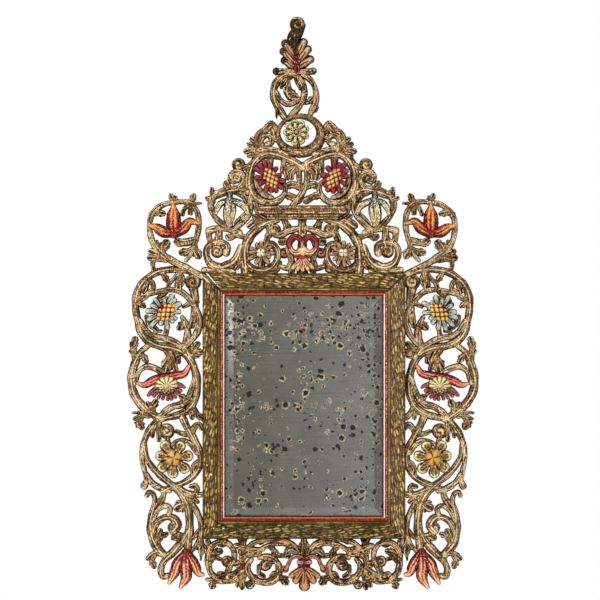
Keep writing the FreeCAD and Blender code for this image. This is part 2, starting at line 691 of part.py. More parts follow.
def rail(length):
    """A bottom rail on its own axis, with a broad band and a fillet beside the glass."""
    w, front = RAIL_W, FRAME_DEPTH
    low = front - FILLET_D
    inner, shoulder = w - FILLET_W, EDGE_FALL / 4
    edge = [(0, 0), (0, front - EDGE_FALL), (EDGE_ROUND * 0.4, front - shoulder), (EDGE_ROUND, front)]
    fillet = [(inner, front), (inner + FILLET_D / 2, low), (w - FILLET_D, low), (w, low - FILLET_D)]
    rebate = [(w, BOARD_T), (w - REBATE_W, BOARD_T), (w - REBATE_W, 0)]
    return mitred(edge + fillet + rebate, length, w)


def slip(length):
    """A bottom sight slip on its own axis: its face is an oval bead that falls to the glass."""
    back = SLIP_FRONT - SLIP_T
    span = SLIP_W - SLIP_CROWN
    section = [(0, back)]
    for k in range(6):
        e = SLIP_W * k / 5
        section.append((e, SLIP_FRONT - SLIP_ROUND * (1 - math.sqrt(1 - ((e - SLIP_CROWN) / span) ** 2))))
    return mitred(section + [(SLIP_W, back)], length, SLIP_W)


def round_frame(piece_h, piece_v, inset):
    """Top, bottom, left and right pieces from one that lies across and one that stands."""
    out = {}
    half_w, half_h = FRAME_W / 2 - inset, FRAME_H / 2 - inset
    out["bottom"] = piece_h.translated(V(0, 0, -half_h))
    out["top"] = piece_h.rotated(V(0, 0, 0), V(0, 1, 0), 180).translated(V(0, 0, half_h))
    out["left"] = piece_v.rotated(V(0, 0, 0), V(0, 1, 0), 90).translated(V(-half_w, 0, 0))
    out["right"] = piece_v.rotated(V(0, 0, 0), V(0, 1, 0), -90).translated(V(half_w, 0, 0))
    return out


def on_crest(corners, high):
    """A flat piece on the front of the crest, from its corners in squares."""
    (left_x, top_z), (right_x, low_z) = (to_crest(*corner) for corner in corners)
    return box((left_x, right_x), (-PANEL_FRONT - high, -PANEL_FRONT), (low_z, top_z))


def round_bar(centre, radius, wire, count=24, sides=6):
    """A faceted ring of round wire in the plane of the wall."""
    grid = []
    for i in range(count):
        a = 2 * math.pi * i / count
        row = []
        for k in range(sides):
            b = 2 * math.pi * (k + 0.5) / sides
            reach = radius + wire / 2 * math.cos(b)
            row.append(V(centre[0] + reach * math.sin(a), centre[1] + wire / 2 * math.sin(b),
                         centre[2] + reach * math.cos(a)))
        grid.append(row)
    faces = []
    for i in range(count):
        for k in range(sides):
            quad = [grid[i][k], grid[(i + 1) % count][k], grid[(i + 1) % count][(k + 1) % sides],
                    grid[i][(k + 1) % sides]]
            faces.append(Part.Face(Part.makePolygon(quad + quad[:1])))
    return closed(faces)


nodes = {}

# Frame rails, mitred at the corners, and the loose keys across each mitre
rails = round_frame(rail(FRAME_W), rail(FRAME_H), 0)
slips = round_frame(slip(FRAME_W - 2 * RAIL_W), slip(FRAME_H - 2 * RAIL_W), RAIL_W)
keys = []
for sx in (-1, 1):
    for sz in (-1, 1):
        key = box((-KEY_L / 2, KEY_L / 2), (-KEY_T / 2, KEY_T / 2), (-KEY_W / 2, KEY_W / 2))
        key = key.rotated(V(0, 0, 0), V(0, 1, 0), -45 * sx * sz)
        x, z = FRAME_W / 2 - KEY_INSET, FRAME_H / 2 - KEY_INSET
        keys.append(key.translated(V(sx * x, KEY_SINK - FRAME_DEPTH, sz * z)))

# Glass with a bevelled face, its silvering, the blocks behind it and the backboard
hw, hh = GLASS_W / 2, GLASS_H / 2
inner = GLASS_COVER + BEVEL_W
blank = box((-hw, hw), (-GLASS_FRONT, -GLASS_BACK), (-hh, hh))


def loop_at(inset, depth):
    """A rectangle at a distance inside the edge of the glass."""
    w, h = hw - inset, hh - inset
    ring = [V(x * w, -depth, z * h) for x, z in ((-1, -1), (1, -1), (1, 1), (-1, 1))]
    return Part.makePolygon(ring + ring[:1])


sunk = GLASS_FRONT - BEVEL_D
edge = Part.makeLoft([loop_at(inner, GLASS_FRONT), loop_at(GLASS_COVER, sunk)], True, True)
around = box((-hw + GLASS_COVER, hw - GLASS_COVER), (-GLASS_FRONT, -sunk),
             (-hh + GLASS_COVER, hh - GLASS_COVER))
nodes["mirror_glass"] = blank.cut(around.cut(edge))
silver_back = GLASS_BACK - SILVER_T
nodes["silvering"] = box((-hw, hw), (-GLASS_BACK, -silver_back), (-hh, hh))
board = box((-BOARD_W / 2, BOARD_W / 2), (-BOARD_T, 0), (-BOARD_H / 2, BOARD_H / 2))
blocks = []
block_y = (-silver_back, -BOARD_T)
wide, long = BLOCK_W / 2, BLOCK_L / 2
for k in (-1, 0, 1):
    for s in (-1, 1):
        x, z = s * (hw - wide), k * GLASS_H * BLOCK_ROWS
        blocks.append(box((x - wide, x + wide), block_y, (z - long, z + long)))
        if k:
            x, z = k * GLASS_W * BLOCK_COLUMNS, s * (hh - wide)
            blocks.append(box((x - long, x + long), block_y, (z - wide, z + wide)))
nodes["glazing_blocks"] = Part.makeCompound(blocks)


def nail(x, z):
    """A square nail from the back, its head flush with the board."""
    h, n = NAIL_HEAD / 2, NAIL_SHANK / 2
    head = box((x - h, x + h), (-NAIL_HEAD_T, 0), (z - h, z + h))
    return head.fuse(box((x - n, x + n), (-NAIL_L, -NAIL_HEAD_T / 2), (z - n, z + n))).removeSplitter()


nails = []
for s in (-1, 1):
    for k in (-1, 1):
        nails.append(nail(s * (BOARD_W - REBATE_W) / 2, k * BOARD_H * BLOCK_ROWS))
        nails.append(nail(k * BOARD_W * BLOCK_COLUMNS, s * (BOARD_H - REBATE_W) / 2))
nodes["backboard_nails"] = Part.makeCompound(nails)
nodes["backboard"] = board.cut(nodes["backboard_nails"])

# Carved boards
wing_strokes = read(WING)
crest_strokes = both(read(CREST), CREST_AXIS) + both(read(CREST_SHOULDERS), RING_AXIS) + read(CREST_ONCE)
apron_strokes = both(read(APRON), MIDDLE[0]) + read(APRON_ONCE)
frame_y = (-FRAME_DEPTH - SPARE, SPARE)
frame_block = box((-FRAME_W / 2, FRAME_W / 2), frame_y, (-FRAME_H / 2, FRAME_H / 2))
left, right = to_wing(-1), to_wing(1)
boards = {}
boards["left_wing"] = biggest(carved(wing_strokes, left, PANEL_BACK, PANEL_FRONT).cut(frame_block))
boards["right_wing"] = biggest(carved(wing_strokes, right, PANEL_BACK, PANEL_FRONT).cut(frame_block))
boards["apron"] = biggest(carved(apron_strokes, to_apron, PANEL_BACK, PANEL_FRONT).cut(frame_block))

# The crest's ring round the top rosette is one oval less another
ring_disc = oval(RING_OUT, RING_OUT_HALF, PANEL_BACK, PANEL_FRONT)
eye_disc = oval(RING_EYE, RING_EYE_HALF, PANEL_BACK - SPARE, PANEL_FRONT + SPARE)
stalk = carved(read(ROSETTE_STALK), to_crest, PANEL_BACK, PANEL_FRONT)
field = carved(crest_strokes, to_crest, PANEL_BACK, PANEL_FRONT).cut(frame_block)
crest = field.cut(eye_disc).fuse([ring_disc.cut(eye_disc), stalk]).removeSplitter()
boards["crest"] = biggest(crest)
finial = carved(read(FINIAL), to_crest, PANEL_BACK, PANEL_FRONT)
boards["finial"] = biggest(finial.cut(ring_disc).cut(boards["crest"]))

# Pegs: where each board meets the frame, or the finial the crest
peg_y = -(PANEL_BACK + PANEL_FRONT) / 2
edge_column = MIDDLE[0] - DRAWN[0] / 2
pegs = {"left_wing_pegs": [], "right_wing_pegs": [], "crest_pegs": [], "apron_pegs": [], "finial_pegs": []}
for row in WING_PEGS:
    for side, name, place in ((-1, "left_wing_pegs", left), (1, "right_wing_pegs", right)):
        z = place(edge_column, row)[1]
        pegs[name].append(peg((side * FRAME_W / 2, peg_y, z), (1, 0, 0)))
for column in CREST_PEGS:
    pegs["crest_pegs"].append(peg((to_crest(column, 0)[0], peg_y, FRAME_H / 2), (0, 0, 1)))
for column in APRON_PEGS:
    pegs["apron_pegs"].append(peg((to_apron(column, 0)[0], peg_y, -FRAME_H / 2), (0, 0, 1)))
for column, row, lean in FINIAL_PEGS:
    x, z = to_crest(column, row)
    turn = math.radians(lean)
    pegs["finial_pegs"].append(peg((x, peg_y, z), (math.sin(turn), 0, math.cos(turn))))
for name, group in pegs.items():
    nodes[name] = Part.makeCompound(group)
pegged = {"left_wing": ["left_wing_pegs"], "right_wing": ["right_wing_pegs"], "apron": ["apron_pegs"],
          "crest": ["crest_pegs", "finial_pegs"], "finial": ["finial_pegs"]}
for name, groups in pegged.items():
    nodes[name] = biggest(boards[name].cut([nodes[group] for group in groups]))

# The applied bar across the crest, with a ledge under it
nodes["crest_bar"] = on_crest(BAR, BAR_H).fuse(on_crest(LEDGE, LEDGE_H)).removeSplitter()

# Iron staple in the top rail and the ring that hangs in it
ring_r = (RING_BORE + RING_WIRE) / 2
ring_y = RING_WIRE
top_z = FRAME_H / 2 - STAPLE_DROP
gap = RING_WIRE + 2 * RING_PLAY
b = STAPLE_BAR
bar_x = (-b / 2, b / 2)
low, high = top_z - gap / 2, top_z + gap / 2
eye_out = ring_y + gap / 2 + RING_PLAY
leg_y = (-STAPLE_L, eye_out + b)
bow = box(bar_x, (eye_out, eye_out + b), (low - b, high + b))
staple = bow.fuse([box(bar_x, leg_y, (low - b, low)), box(bar_x, leg_y, (high, high + b))])
nodes["hanging_staple"] = staple.removeSplitter()
nodes["hanging_ring"] = round_bar((0, ring_y, top_z - ring_r), ring_r, RING_WIRE)

# Sockets in the frame for keys, pegs, nails and the staple
sockets = keys + nails + [nodes["hanging_staple"]]
for name in ("left_wing_pegs", "right_wing_pegs", "crest_pegs", "apron_pegs"):
    sockets += pegs[name]
tool = Part.makeCompound(sockets)
nodes["mitre_keys"] = Part.makeCompound(keys)
nodes["frame_top_rail"] = biggest(rails["top"].cut(tool))
nodes["frame_bottom_rail"] = biggest(rails["bottom"].cut(tool))
nodes["frame_left_stile"] = biggest(rails["left"].cut(tool))
nodes["frame_right_stile"] = biggest(rails["right"].cut(tool))
for side, piece in slips.items():
    nodes["sight_slip_" + side] = piece

# Flowers laid on the boards; a lean turns over with its side
for side, place in (("left", left), ("right", right)):
    lean = BLUE_HEART_LEAN if side == "left" else 180 - BLUE_HEART_LEAN
    nodes[side + "_top_lily"] = flower(read(TOP_LILY), place)
    nodes[side + "_blue_flower"] = flower(read(BLUE_FLOWER), place, BLUE_HEART, BLUE_HEART_HALF, lean)
    nodes[side + "_red_flower"] = flower(read(RED_FLOWER), place, RED_HEART, RED_HEART_HALF)
    nodes[side + "_cream_rosette"] = flower(read(CREAM_ROSETTE), place, CREAM_HEART, CREAM_HEART_HALF)
    nodes[side + "_pendant_lily"] = flower(read(PENDANT_LILY), place)
small_petals = petals(SMALL_ROSETTE, *SMALL_PETALS)
for side, place in (("left", to_crest), ("right", to_crest_right)):
    name = "crest_" + side
    lean = CREST_HEART_LEAN if side == "left" else 180 - CREST_HEART_LEAN
    nodes[name + "_red_flower"] = flower(read(CREST_RED_FLOWER), place, CREST_HEART, CREST_HEART_HALF, lean)
    nodes[name + "_lily"] = flower(read(CREST_LILY), place)
    nodes[name + "_rosette"] = flower(small_petals, place, SMALL_ROSETTE, SMALL_HEART_HALF)
top_petals = petals(TOP_ROSETTE, *TOP_PETALS)
nodes["crest_top_rosette"] = flower(top_petals, to_crest, TOP_ROSETTE, TOP_HEART_HALF)
nodes["crest_shell"] = flower(both(read(SHELL), SHELL_AXIS), to_crest, SHELL_HEART, SHELL_HEART_HALF)
nodes["apron_flower"] = flower(both(read(APRON_FLOWER), FLOWER_AXIS), to_apron, APRON_HEART, APRON_HEART_HALF)

os.makedirs("parts", exist_ok=True)
for name, shape in nodes.items():
    shape.exportStep("parts/" + name + ".step")
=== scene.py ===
# %% [markdown]
# # A carved and gilded mirror
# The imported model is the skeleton: it fixes where every piece sits, in metres, with the wall at y = 0 and
# the viewer at minus y. This lesson dresses it. Plain boards become carved vines, and flat flowers become
# painted petals.

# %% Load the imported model
import bpy
import numpy as np
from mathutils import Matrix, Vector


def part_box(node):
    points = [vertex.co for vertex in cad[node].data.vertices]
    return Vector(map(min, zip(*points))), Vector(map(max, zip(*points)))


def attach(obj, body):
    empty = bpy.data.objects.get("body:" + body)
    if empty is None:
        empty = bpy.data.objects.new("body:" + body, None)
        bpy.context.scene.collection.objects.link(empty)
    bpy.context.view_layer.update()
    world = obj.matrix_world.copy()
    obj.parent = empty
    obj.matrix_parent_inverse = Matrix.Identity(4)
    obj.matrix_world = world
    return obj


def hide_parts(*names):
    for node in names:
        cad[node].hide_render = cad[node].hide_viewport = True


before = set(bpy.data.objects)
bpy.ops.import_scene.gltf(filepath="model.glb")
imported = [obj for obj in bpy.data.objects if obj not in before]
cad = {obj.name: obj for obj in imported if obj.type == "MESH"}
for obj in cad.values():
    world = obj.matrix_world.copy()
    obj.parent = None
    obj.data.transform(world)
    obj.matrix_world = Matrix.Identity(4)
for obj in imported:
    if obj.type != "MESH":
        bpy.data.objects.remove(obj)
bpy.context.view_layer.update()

print(len(cad), "nodes in the packed model")

# %% [markdown]
# ## One scale for the drawing
# A carver works from a cartoon drawn on squared paper. Here the squares are the photograph's pixels, so
# each stroke of the cartoon can be typed as it is read. Two numbers turn squares into metres: the size of
# one square, and the square that lies on the middle of the glass.

# %% Squares to metres
SQUARE = 0.0021
MIDDLE = (304.0, 406.0)


def squares(text):
    """Strokes from their lines: the points of the middle line, then the widths spread along it."""
    strokes = []
    for line in text.strip().splitlines():
        points, widths = line.split(";")
        points = np.array([pair.split(",") for pair in points.split()], float)
        strokes.append((points, np.array(widths.split(), float)))
    return strokes


def in_room(points, y):
    """Squares to metres: x to the right, z up, y as given."""
    x = (points[..., 0] - MIDDLE[0]) * SQUARE
    z = (MIDDLE[1] - points[..., 1]) * SQUARE
    return np.stack([x, np.broadcast_to(y, x.shape), z], -1)


print("one square is", SQUARE * 1000, "mm")

# %% Mirror images
WING_LEAN, LEAN_ROW = np.sin(np.radians(0.6)), 560.0


def as_drawn(points):
    """The left side of the cartoon stays where it is."""
    return points


def across(axis):
    """A mirror about one column: x becomes twice the column less x."""
    return lambda points: np.stack([2 * axis - points[..., 0], points[..., 1]], -1)


def right_wing(points):
    """The right wing is the left one turned over, leaning in by a small angle above its foot."""
    x = 2 * MIDDLE[0] - points[..., 0] - (LEAN_ROW - points[..., 1]) * WING_LEAN
    return np.stack([x, points[..., 1]], -1)


def both(text, axis):
    """Strokes of one half with their mirror image."""
    strokes, turn = squares(text), across(axis)
    return strokes + [(turn(points), widths) for points, widths in strokes]


print("the right wing leans by", round(WING_LEAN * 1000, 1), "mm in a metre")

# %% [markdown]
# ## The cartoon of the carving
# Every vine, leaf and curl is one line: points along its middle, a semicolon, then its widths from root to
# tip. A backslash carries a long line on to the next. A single point is a round knob with its diameter.
# A mesh sculpted by hand would also do, but strokes keep the tool's flow.

# %% Vines of a wing
WING = """
174,202 163,204.5 154.5,210.5 150,219 149.3,229 151.5,240 157,249.5 165.5,256.5 177,263.5 188,269 \
197,274 204,278 ; 5 5 7 6
174,202 184,201.5 191.5,204 196.3,210.5 198.5,219 198.2,229 196,239 193,248 190,255 185.5,260.5 ; 4.5 5 \
5 3
174,203 172.5,199 170.7,195.3 ; 4 4.5
175.5,203 175.5,199.5 175.3,197 ; 3.5 3
187,202.5 191.5,199.5 193.5,195.7 ; 3.5 5
186,203 193,203.3 200.5,203 ; 5 2
191,204 185.5,207 183,211 182.2,214 ; 4.5 4
192,205 189,209 188.7,213.5 ; 3.5 2
194,207 191.5,210.5 191,214 ; 3 2
151,214 157,212.5 162.5,213.3 ; 5 5.5
163,256 162.5,248.5 166,243 ; 5 7.5
158.5,252 157,246 156.5,241 ; 4 2.5
196,239.5 188,241.8 181.5,242 176,238.8 ; 5 8 7 3
193.5,248.5 187,251.5 181.5,252.3 ; 5 6
194.5,245 195.5,251 198,255.5 ; 4 7
165,258 157,254 151,251.7 ; 5 6
166,260 157,258.3 150,257.7 ; 5 6.5
154,258 152.3,264 153.5,271 ; 4.5 4
183,243.5 178.5,244.3 175.5,241.5 ; 5 4
204,277 194,272.5 183,270 170,269.5 157,272 146.5,278.5 139.5,286.5 136,296.5 135.3,308 137.5,320.5 \
141,332 148,341 159,346 171,348 182,352 189.5,359.5 194.5,370 196.8,382 196.3,394 193,404 186.5,411 \
177,415.5 167,418 159,420 153,425 147.5,433 143.5,443 142,454 ; 6 6 7 7 8 8 7 7 6 6
193,288 195,297 196,307 ; 9 5
146,279.5 151.5,282.5 153,288 149,292.5 144,296.5 ; 5 5 4
137,295 141,299.3 145.8,296.8 ; 4.5 4
137,301 140.5,304 143.3,306.2 ; 5.5 4.5
148,294 158,291.8 169,289.8 179,291 187,296.5 193.5,304.5 198.2,314 199.5,323 197,332 191.5,340 \
184,347.5 ; 4.5 5.5 5.5 6 6
161,271 164,276 166.5,280 ; 5 5
179,271.5 174,278 169,283.5 167,289 ; 4.5 3.5
180,271.5 178.7,280 178,290 ; 6 6
180.5,274 183,279.5 181.5,284 ; 4.5 4
165,291.5 159.5,296.5 155.5,302.5 ; 5.5 3
193,301 188,304.3 183.5,306.5 ; 5.5 4
184,348 187.2,336 186.7,326 182,317.5 ; 7 7 4
187,326 182.5,324.5 179.3,327.7 ; 4 6
140,321 146,330.5 154,336.5 163,338 173,341.5 183.5,348.5 190,357 ; 5 5 6 6
153,335.5 156,331.5 160,331 ; 4 3.5
164,339 165.8,333 166.5,326 166,314 ; 5 4
187,350 193,349.5 197.3,344.3 ; 7 5.5
188,353.5 195,352.7 204,352 ; 6.5 5
190,356 194,356.5 197.5,356.5 ; 5 3.5
135.5,363 134,353 133,346 134.7,339.5 ; 7 6 4.5 6
134.5,354.5 130.5,351.5 ; 5 4
147,346.5 140,352.5 135.5,361 132.3,371 131,382 133,392.5 138.3,402 145.5,409.5 153,415 161,419.5 ; 5 7 \
8 8 7.5 7
138,356 143,356.5 145.7,361 ; 5.5 5
134.5,383 138.5,372 146,366.7 154,368.3 161,372 166,375.5 ; 5 5 6 6
167,350 172,359 175.3,369.5 ; 9 5
170,356 166.7,361.5 164.3,365.3 ; 6 6.5
175.5,351 178,357.3 178.6,362 ; 5 4
195,377 191.5,389 187.7,398 181,404.7 173,406.7 165,411.5 158.5,418.5 ; 4 5.5 7 6 6
188,402 184,398 181,396.7 ; 5 4.5
153,415 149.5,408.5 147,404.3 ; 5 5
153,414 152.7,407 155,402.5 ; 4.5 6
150,413.5 142,412.7 133,413.2 ; 4.5 2.5
148,416.5 140.5,416.3 134,419 ; 4.5 3
142,417.5 138.5,420.7 135,422.7 ; 4 2.5
141,418 138.5,423.5 141,427 ; 4.5 6.5
190.5,410 191,414 191.8,418 ; 5 4
192,408 197,415 204,419.5 ; 6.5 5
191,435 194,428 198.5,424.7 201.5,429 ; 5 6 3.5
157.5,420 153.3,429 152.2,436.3 ; 5 4
158.5,420 158.3,431 158.6,440.3 ; 6 4
166,374 167,386 ; 6 5
182,417 186,426 190.3,433.5 195,442 199,450.5 200.3,460 198.3,469 192.3,477 182.5,483.5 172,487.5 \
163,491 ; 7 7 6.5 6 6 6 6
190.5,434.5 183,434.3 176,431.7 ; 6 3.5
171,446 176,442 184,441 191,445 197,453 ; 3.5 5 5
166.5,437 169,447 174,458 ; 5 5
199.5,462 194.5,464.5 192,470 193.3,475 ; 5.5 4.5 4
143.5,443 146,457 151.5,467 160,476 168.5,483 177,490 184.5,499 188,509 189.3,521 189,533 188,544 \
187,553 ; 5 5 6 7 8 8 8 7
142,450 142,462 144.7,473 146,481 143.7,486.7 ; 5 4.5 4.5 6.5
145.5,474 151.5,483 160.5,489 169,491.3 ; 4.5 6 5
178,489 187,494 195.5,495.5 204,494.7 ; 6 7 5
194,495 197,490 195,486.3 191,487 ; 5 4.5
186,495 193,499.5 197.3,502.3 ; 6 4
189,501 196.5,512 200.7,523.5 201,535 197,545 190.5,552.5 ; 6 5.5 5.5 5 4
200.5,537 200.7,545 201.3,552 ; 5 7
201,551 200.6,560.5 ; 4 1.2
199,531 194,537.5 189.5,541 ; 4 3.5
164,490 162.5,498 157,506.5 ; 5.5 5.5
146.5,496 148.5,492.3 152.7,494.5 154.5,501.5 152.5,511 150.7,521 150.8,531 153,541 157.5,549 163,555 ; \
4 4 5 6 7 8 9 9 7
152,521 157,511 165,506.3 170,509.5 168.7,514.5 ; 5.5 5 5 4.5
153,532 157,523 165,517.8 173,519 177,525.5 173.5,530.5 ; 5.5 6 6.5 8 10
157,547 157.7,538 160,531.5 ; 6 4.5
158.5,541.5 162,536.7 165.7,534.8 ; 4 4.5
161,553.5 153.5,554.3 147.8,559 ; 6 4.5
155,555 151.8,561.5 153.5,567 ; 4 5
188,531 181.5,542.5 173,552.5 165,560 160.7,569 162,577 167,576.7 ; 5 7 8 7 6 5.5
184,537 178.5,536 174,538.3 ; 4.5 6.5
184,538 183.3,543 180.3,546.7 ; 4.5 3.5
187,550 186.5,558 186,566 ; 6 6
187,502 182,505.5 178,508 ; 4 9
147,280.5 145.5,286 143.5,291 ; 5 6 5
165,298.5 158.5,302 154,304.5 ; 5 6.5 6
193.5,306 193.5,316 191.5,326 ; 5 7 5
168,359 168.5,365.5 167,371 ; 6 7 6
146,316.5 149,323.5 156,329.5 ; 3.5 6 4.5
"""
WING_KNOBS = """
192.8,282 ; 15.6
166.5,431.5 ; 15.2
172.5,528 ; 10
"""
print(len(squares(WING)), "strokes in a wing")

# %% Scrolls of the crest
CREST = """
240.5,247 237.5,256.5 231,264 221,267.7 211.5,264.7 206.5,256.5 207,247.5 213,242.7 221,242.5 227,246 \
226,252.5 ; 5.5 8 9 8.5 7.5 6 5 5 6 7
203.8,270 215,271 233,271.5 ; 5 5
246,274 245,260 245.5,247 250,236.5 257,228.7 266,223 277,219.5 ; 8 9 8.5 8 7 6
244,268 239,262.5 237.5,256 ; 4 5
241,262 236.8,267.5 ; 4.5 4
239,232.5 228,229.3 217,228.3 208.7,230.7 ; 6 4.5 4.5 6.5
219,229 218.7,236 217.7,243 ; 5 6.5
208.5,232 209.3,239 211.5,246 ; 5 4.5
249,237.5 241,236 235.5,233 ; 5 4.5
233,236 230,238.3 227.7,236.3 ; 4 4.5
216,193.5 211.5,199.5 210.8,207 213.7,215 219.3,221.7 228,228 ; 6 5.5 5 5 5
252.5,191 250.3,200 250.5,208.5 247.5,216.3 241,223 233,229.5 ; 6 4.5 4.5 5 5
266,222.5 256.5,221 249.7,225.5 ; 6.5 5.5
260,220.5 254.7,216.3 ; 4.5 4.5
247,264 254,269.5 263,270.5 271.5,267 277,259.5 277.3,251 273,245 267.5,244.7 ; 6 7 7 6 5 5.5 7 8
268,222.5 269.5,231 266.5,240 ; 6.5 5.5 5
272,221 270.7,228 274.5,234 282,234.3 288,231 299,228 ; 5 5 5.5 6 6 4.5
284,219 286,224 288,229 ; 5 6
291,240 288,250 291.5,260 288,268 282.5,267 ; 5 5 5 5 4
289.5,241 282,241.7 ; 4 7
291.5,260 292,267 291,274 ; 5 5
291,240 296.5,236.5 302.3,240 ; 4.5 4.5
212.5,198 211.5,192.5 211.6,188.7 ; 4.5 3
212.5,201.5 209.5,199.3 207,198 ; 4.5 3.5
247,191.5 237,189.5 228,191.5 219.5,194.5 214,196.5 ; 7 7.5 6 5
213,197 220,191.7 227,189 234,188 ; 4 4.5 5
229,190 226.3,184 ; 4.5 6.5
234,189.5 241,186 244,178.7 240.7,172.7 233.7,172.2 230.2,177.5 233.3,181.7 237,179.5 ; 4.5 5 5 5 5 4.5 \
4
253,163 246.5,166.8 241,168.3 ; 5 4
263,202 254.5,196.5 249.7,187.5 249.2,176.5 251.7,166.5 256.7,159 264.5,154.3 274.5,154.3 285,157.5 \
295,162 302.3,167 ; 6.5 9 8.5 7.5 8 8 7.5 7 7 7
262,201.5 270.5,202.8 278.5,200 284,194 285.3,187.5 283,182 ; 6 6.5 6.5 5 4 3
298,165.5 291,166 286,170.7 287.3,177.3 ; 5 6 4.5
296.5,168.5 292.3,172.5 291.7,177.5 ; 4.5 3.5
284,158 283.3,165 283,170.5 ; 5 4.5
301,187 293,184.3 287,185.7 ; 7 5.5
298,200 291.5,196.5 286.7,195.2 ; 7 5.5
229,228.5 228.5,218 228,208 ; 6 5
270,157 270,168 271,180 ; 6 6
262,270 261.5,262 261,253 ; 6 6
255.5,176 257.5,186 263,193.5 271.5,197.5 ; 3 5.5 6 4
269.5,271.5 276,269.5 280,262.5 ; 4 6 3
256,204.5 257.5,212 265,216.5 ; 4 4 3.5
236,192.5 242.5,195 246,200.5 ; 4 5 4
246.5,212 242,218 236.5,223 ; 3 5.5 4.5
"""
CREST_SHOULDERS = """
263,148 256,141.7 251.7,138.7 ; 5 3.5
262,150.5 254.5,146 248.7,143.7 ; 5 3.5
259,153 251.5,149.5 246,151 ; 5 4.5
257,157 253,154.5 249,155.5 ; 5 3.5
260,148 268,148.5 277,150.5 286,154 ; 5 5 4.5
257,139 260,133.3 266,129 270.7,123.7 ; 5.5 6 6 5.5
262.5,149 261,140 265.3,135.3 271,136.7 271.3,142 267.5,144 ; 5 4.5 4.5 5 5
271,137 276,139 ; 5 5
271,123.5 274.2,128 276,135 ; 5.5 7 7
"""
CREST_KNOBS = """
217,251.5 ; 11.6
235.5,232.7 ; 9.4
275.7,229.3 ; 9.2
236.5,178 ; 9
238.5,164.5 ; 12.4
"""
CREST_MIDDLE = """
302.3,214 302.3,222 302.3,230 302.3,239 ; 10 6.5 9.5 5
302.3,236 302.3,256 302.3,274 ; 6 10 10
306,164 307.5,175 305,187 299.5,197 292.5,206 ; 6 5 5 5 5
298.5,165 299.3,177 300.7,189 ; 5.5 4.5 3.5
297,147 296.5,140 296,132 ; 6 6
"""
print(len(squares(CREST)), "strokes in half the crest")

# %% Scrolls of the apron and the finial
APRON = """
216,579 210.3,573 208,563 208.5,553 213,545.5 221,542.3 229,545 233.5,551.5 234,559 231,565 228,571 \
227.5,577 ; 6 6 6 6 5.5 5.5 5 5 6 6
210.5,557 215,553 220,552 ; 4.5 5.5
209.5,563 214.5,558.5 220,560 ; 4.5 3.5
210.5,551 208.5,545 207.3,540 207.5,536.5 ; 4 5 5 4
222,543 222,537 ; 10 10
206.5,580.3 213,581 222,582 231,581.5 237,578 242,572 ; 2.5 5 5.5 5.5 5
214.5,582 212.5,585 212,587 ; 4 5.5
219.5,575.5 227,576.5 235,574.5 243,568.5 ; 6.5 6 5
243,572 239.5,579 237.5,586 ; 6 5 4
244.5,573 242.5,581 242,588 ; 6 5 5
255,578 253,582.5 250,586 ; 5 5
243.5,575 242,566 242.5,557.5 247,552 ; 5.5 5 6
236,546.5 245,548.5 254,550.3 263,550 ; 5 6 6 4
242,557.5 250,555 259,553.5 ; 6 6 5
243.3,549 242.5,543 242.3,537 ; 6 6.5 7
242,563 239,564.5 236.8,565 ; 4.5 6
246.5,550 253,544 262,540.8 273,539.8 284,541 292,545 297,551 299.5,557 ; 4 5 5 4.5 6 6 6 5
258,553.5 264,548 273,544.8 282,544 290,546.5 ; 4 4.5 5 4
270,547 274.5,552 275,558 ; 5 5 6
276,556 283,556.5 289,557 ; 4 4.5 4
291,547 287.5,551 287,556 ; 5 5 5
259.5,558 268,557.5 275.3,561 279,568 278,576 272,581.5 263,583 254.5,580 248.5,573 247.5,566 251,560.5 \
; 5 6 6 6.5 6.5 7 7 6.5 6 5 5
274,561 269,563 265,566 ; 5 8
259,567 259,573.5 263.5,577 ; 4 4
279,575 273.5,574 270.5,577.5 ; 4.5 3.5
278.5,579 283,579.5 286,582.8 ; 5 6 6.5
260,541 266,537 ; 8 8
"""
APRON_KNOBS = """
227,562 ; 11
249.5,585.5 ; 8.6
241,552.5 ; 6
265,566 ; 11
"""
APRON_MIDDLE = """
304,537 304,545 304,556 ; 6.5 5 9
304,556 304,566 304,576 ; 10 12 10
"""
FINIAL = """
292,72 283,75.5 276.5,82 273.6,90 274,98 276.5,104.5 280.5,110.5 284.5,117 ; 5 6 7 6.5 7 7 6
277.5,106 276.8,112 276.4,117.3 ; 5 3 1.2
303,74 310,79 314.8,87 316.3,96 315,104 311,112 309,117 ; 6 5.5 5 5 6 6 5
314,104 316.8,106.5 315.5,110 ; 4 3.5
289,118 294,112 299,106.5 303,99.5 304.3,91 302.5,83 298,77 291,74 ; 6 6 5.5 6 6 5.5 5
276.5,92 280,99 286,103.3 293,103 298,99.5 ; 4 4.5 5 5
288,91 292.5,95.5 297,97.5 ; 9 12 6
288.5,92 288,86 288.3,81 ; 7 6.5 4
290,76 284,79.5 281.5,86.5 ; 6 7 3.5
296,77 298.5,83 300,88.5 ; 4 5 2
304,102 309,101 313,97.5 ; 4 5 5
277,71.3 285,70.8 295,71.5 305,71.5 313,70.5 ; 6 5 6 6 6
"""
FINIAL_LEAVES = """
296,59 290,51 285.5,43.5 ; 3 7.5 6
296,65 288.5,57.5 283.8,51.5 ; 3 8 6
296,69 289.5,64.5 285,60.5 ; 3 7.5 6
296,57 301,48.5 303.5,42.5 ; 3 8.5 7
297,63 303.5,55 307.5,49.5 ; 3 8.5 7
297,68 305,63 310,59.5 ; 3 8.5 6.5
"""
FINIAL_TRUNK = """
295,50 294.3,43 294.3,37 297.6,30.5 300.6,25 ; 15 15 14.5 13 10.5
"""
FINIAL_HEART = """
297,68 296.7,58 296,49 ; 11 11.5 7
"""
FINIAL_KNOBS = """
276.3,70.8 ; 8
313.3,70.5 ; 7.4
"""
print(len(squares(FINIAL)), "strokes in the finial")

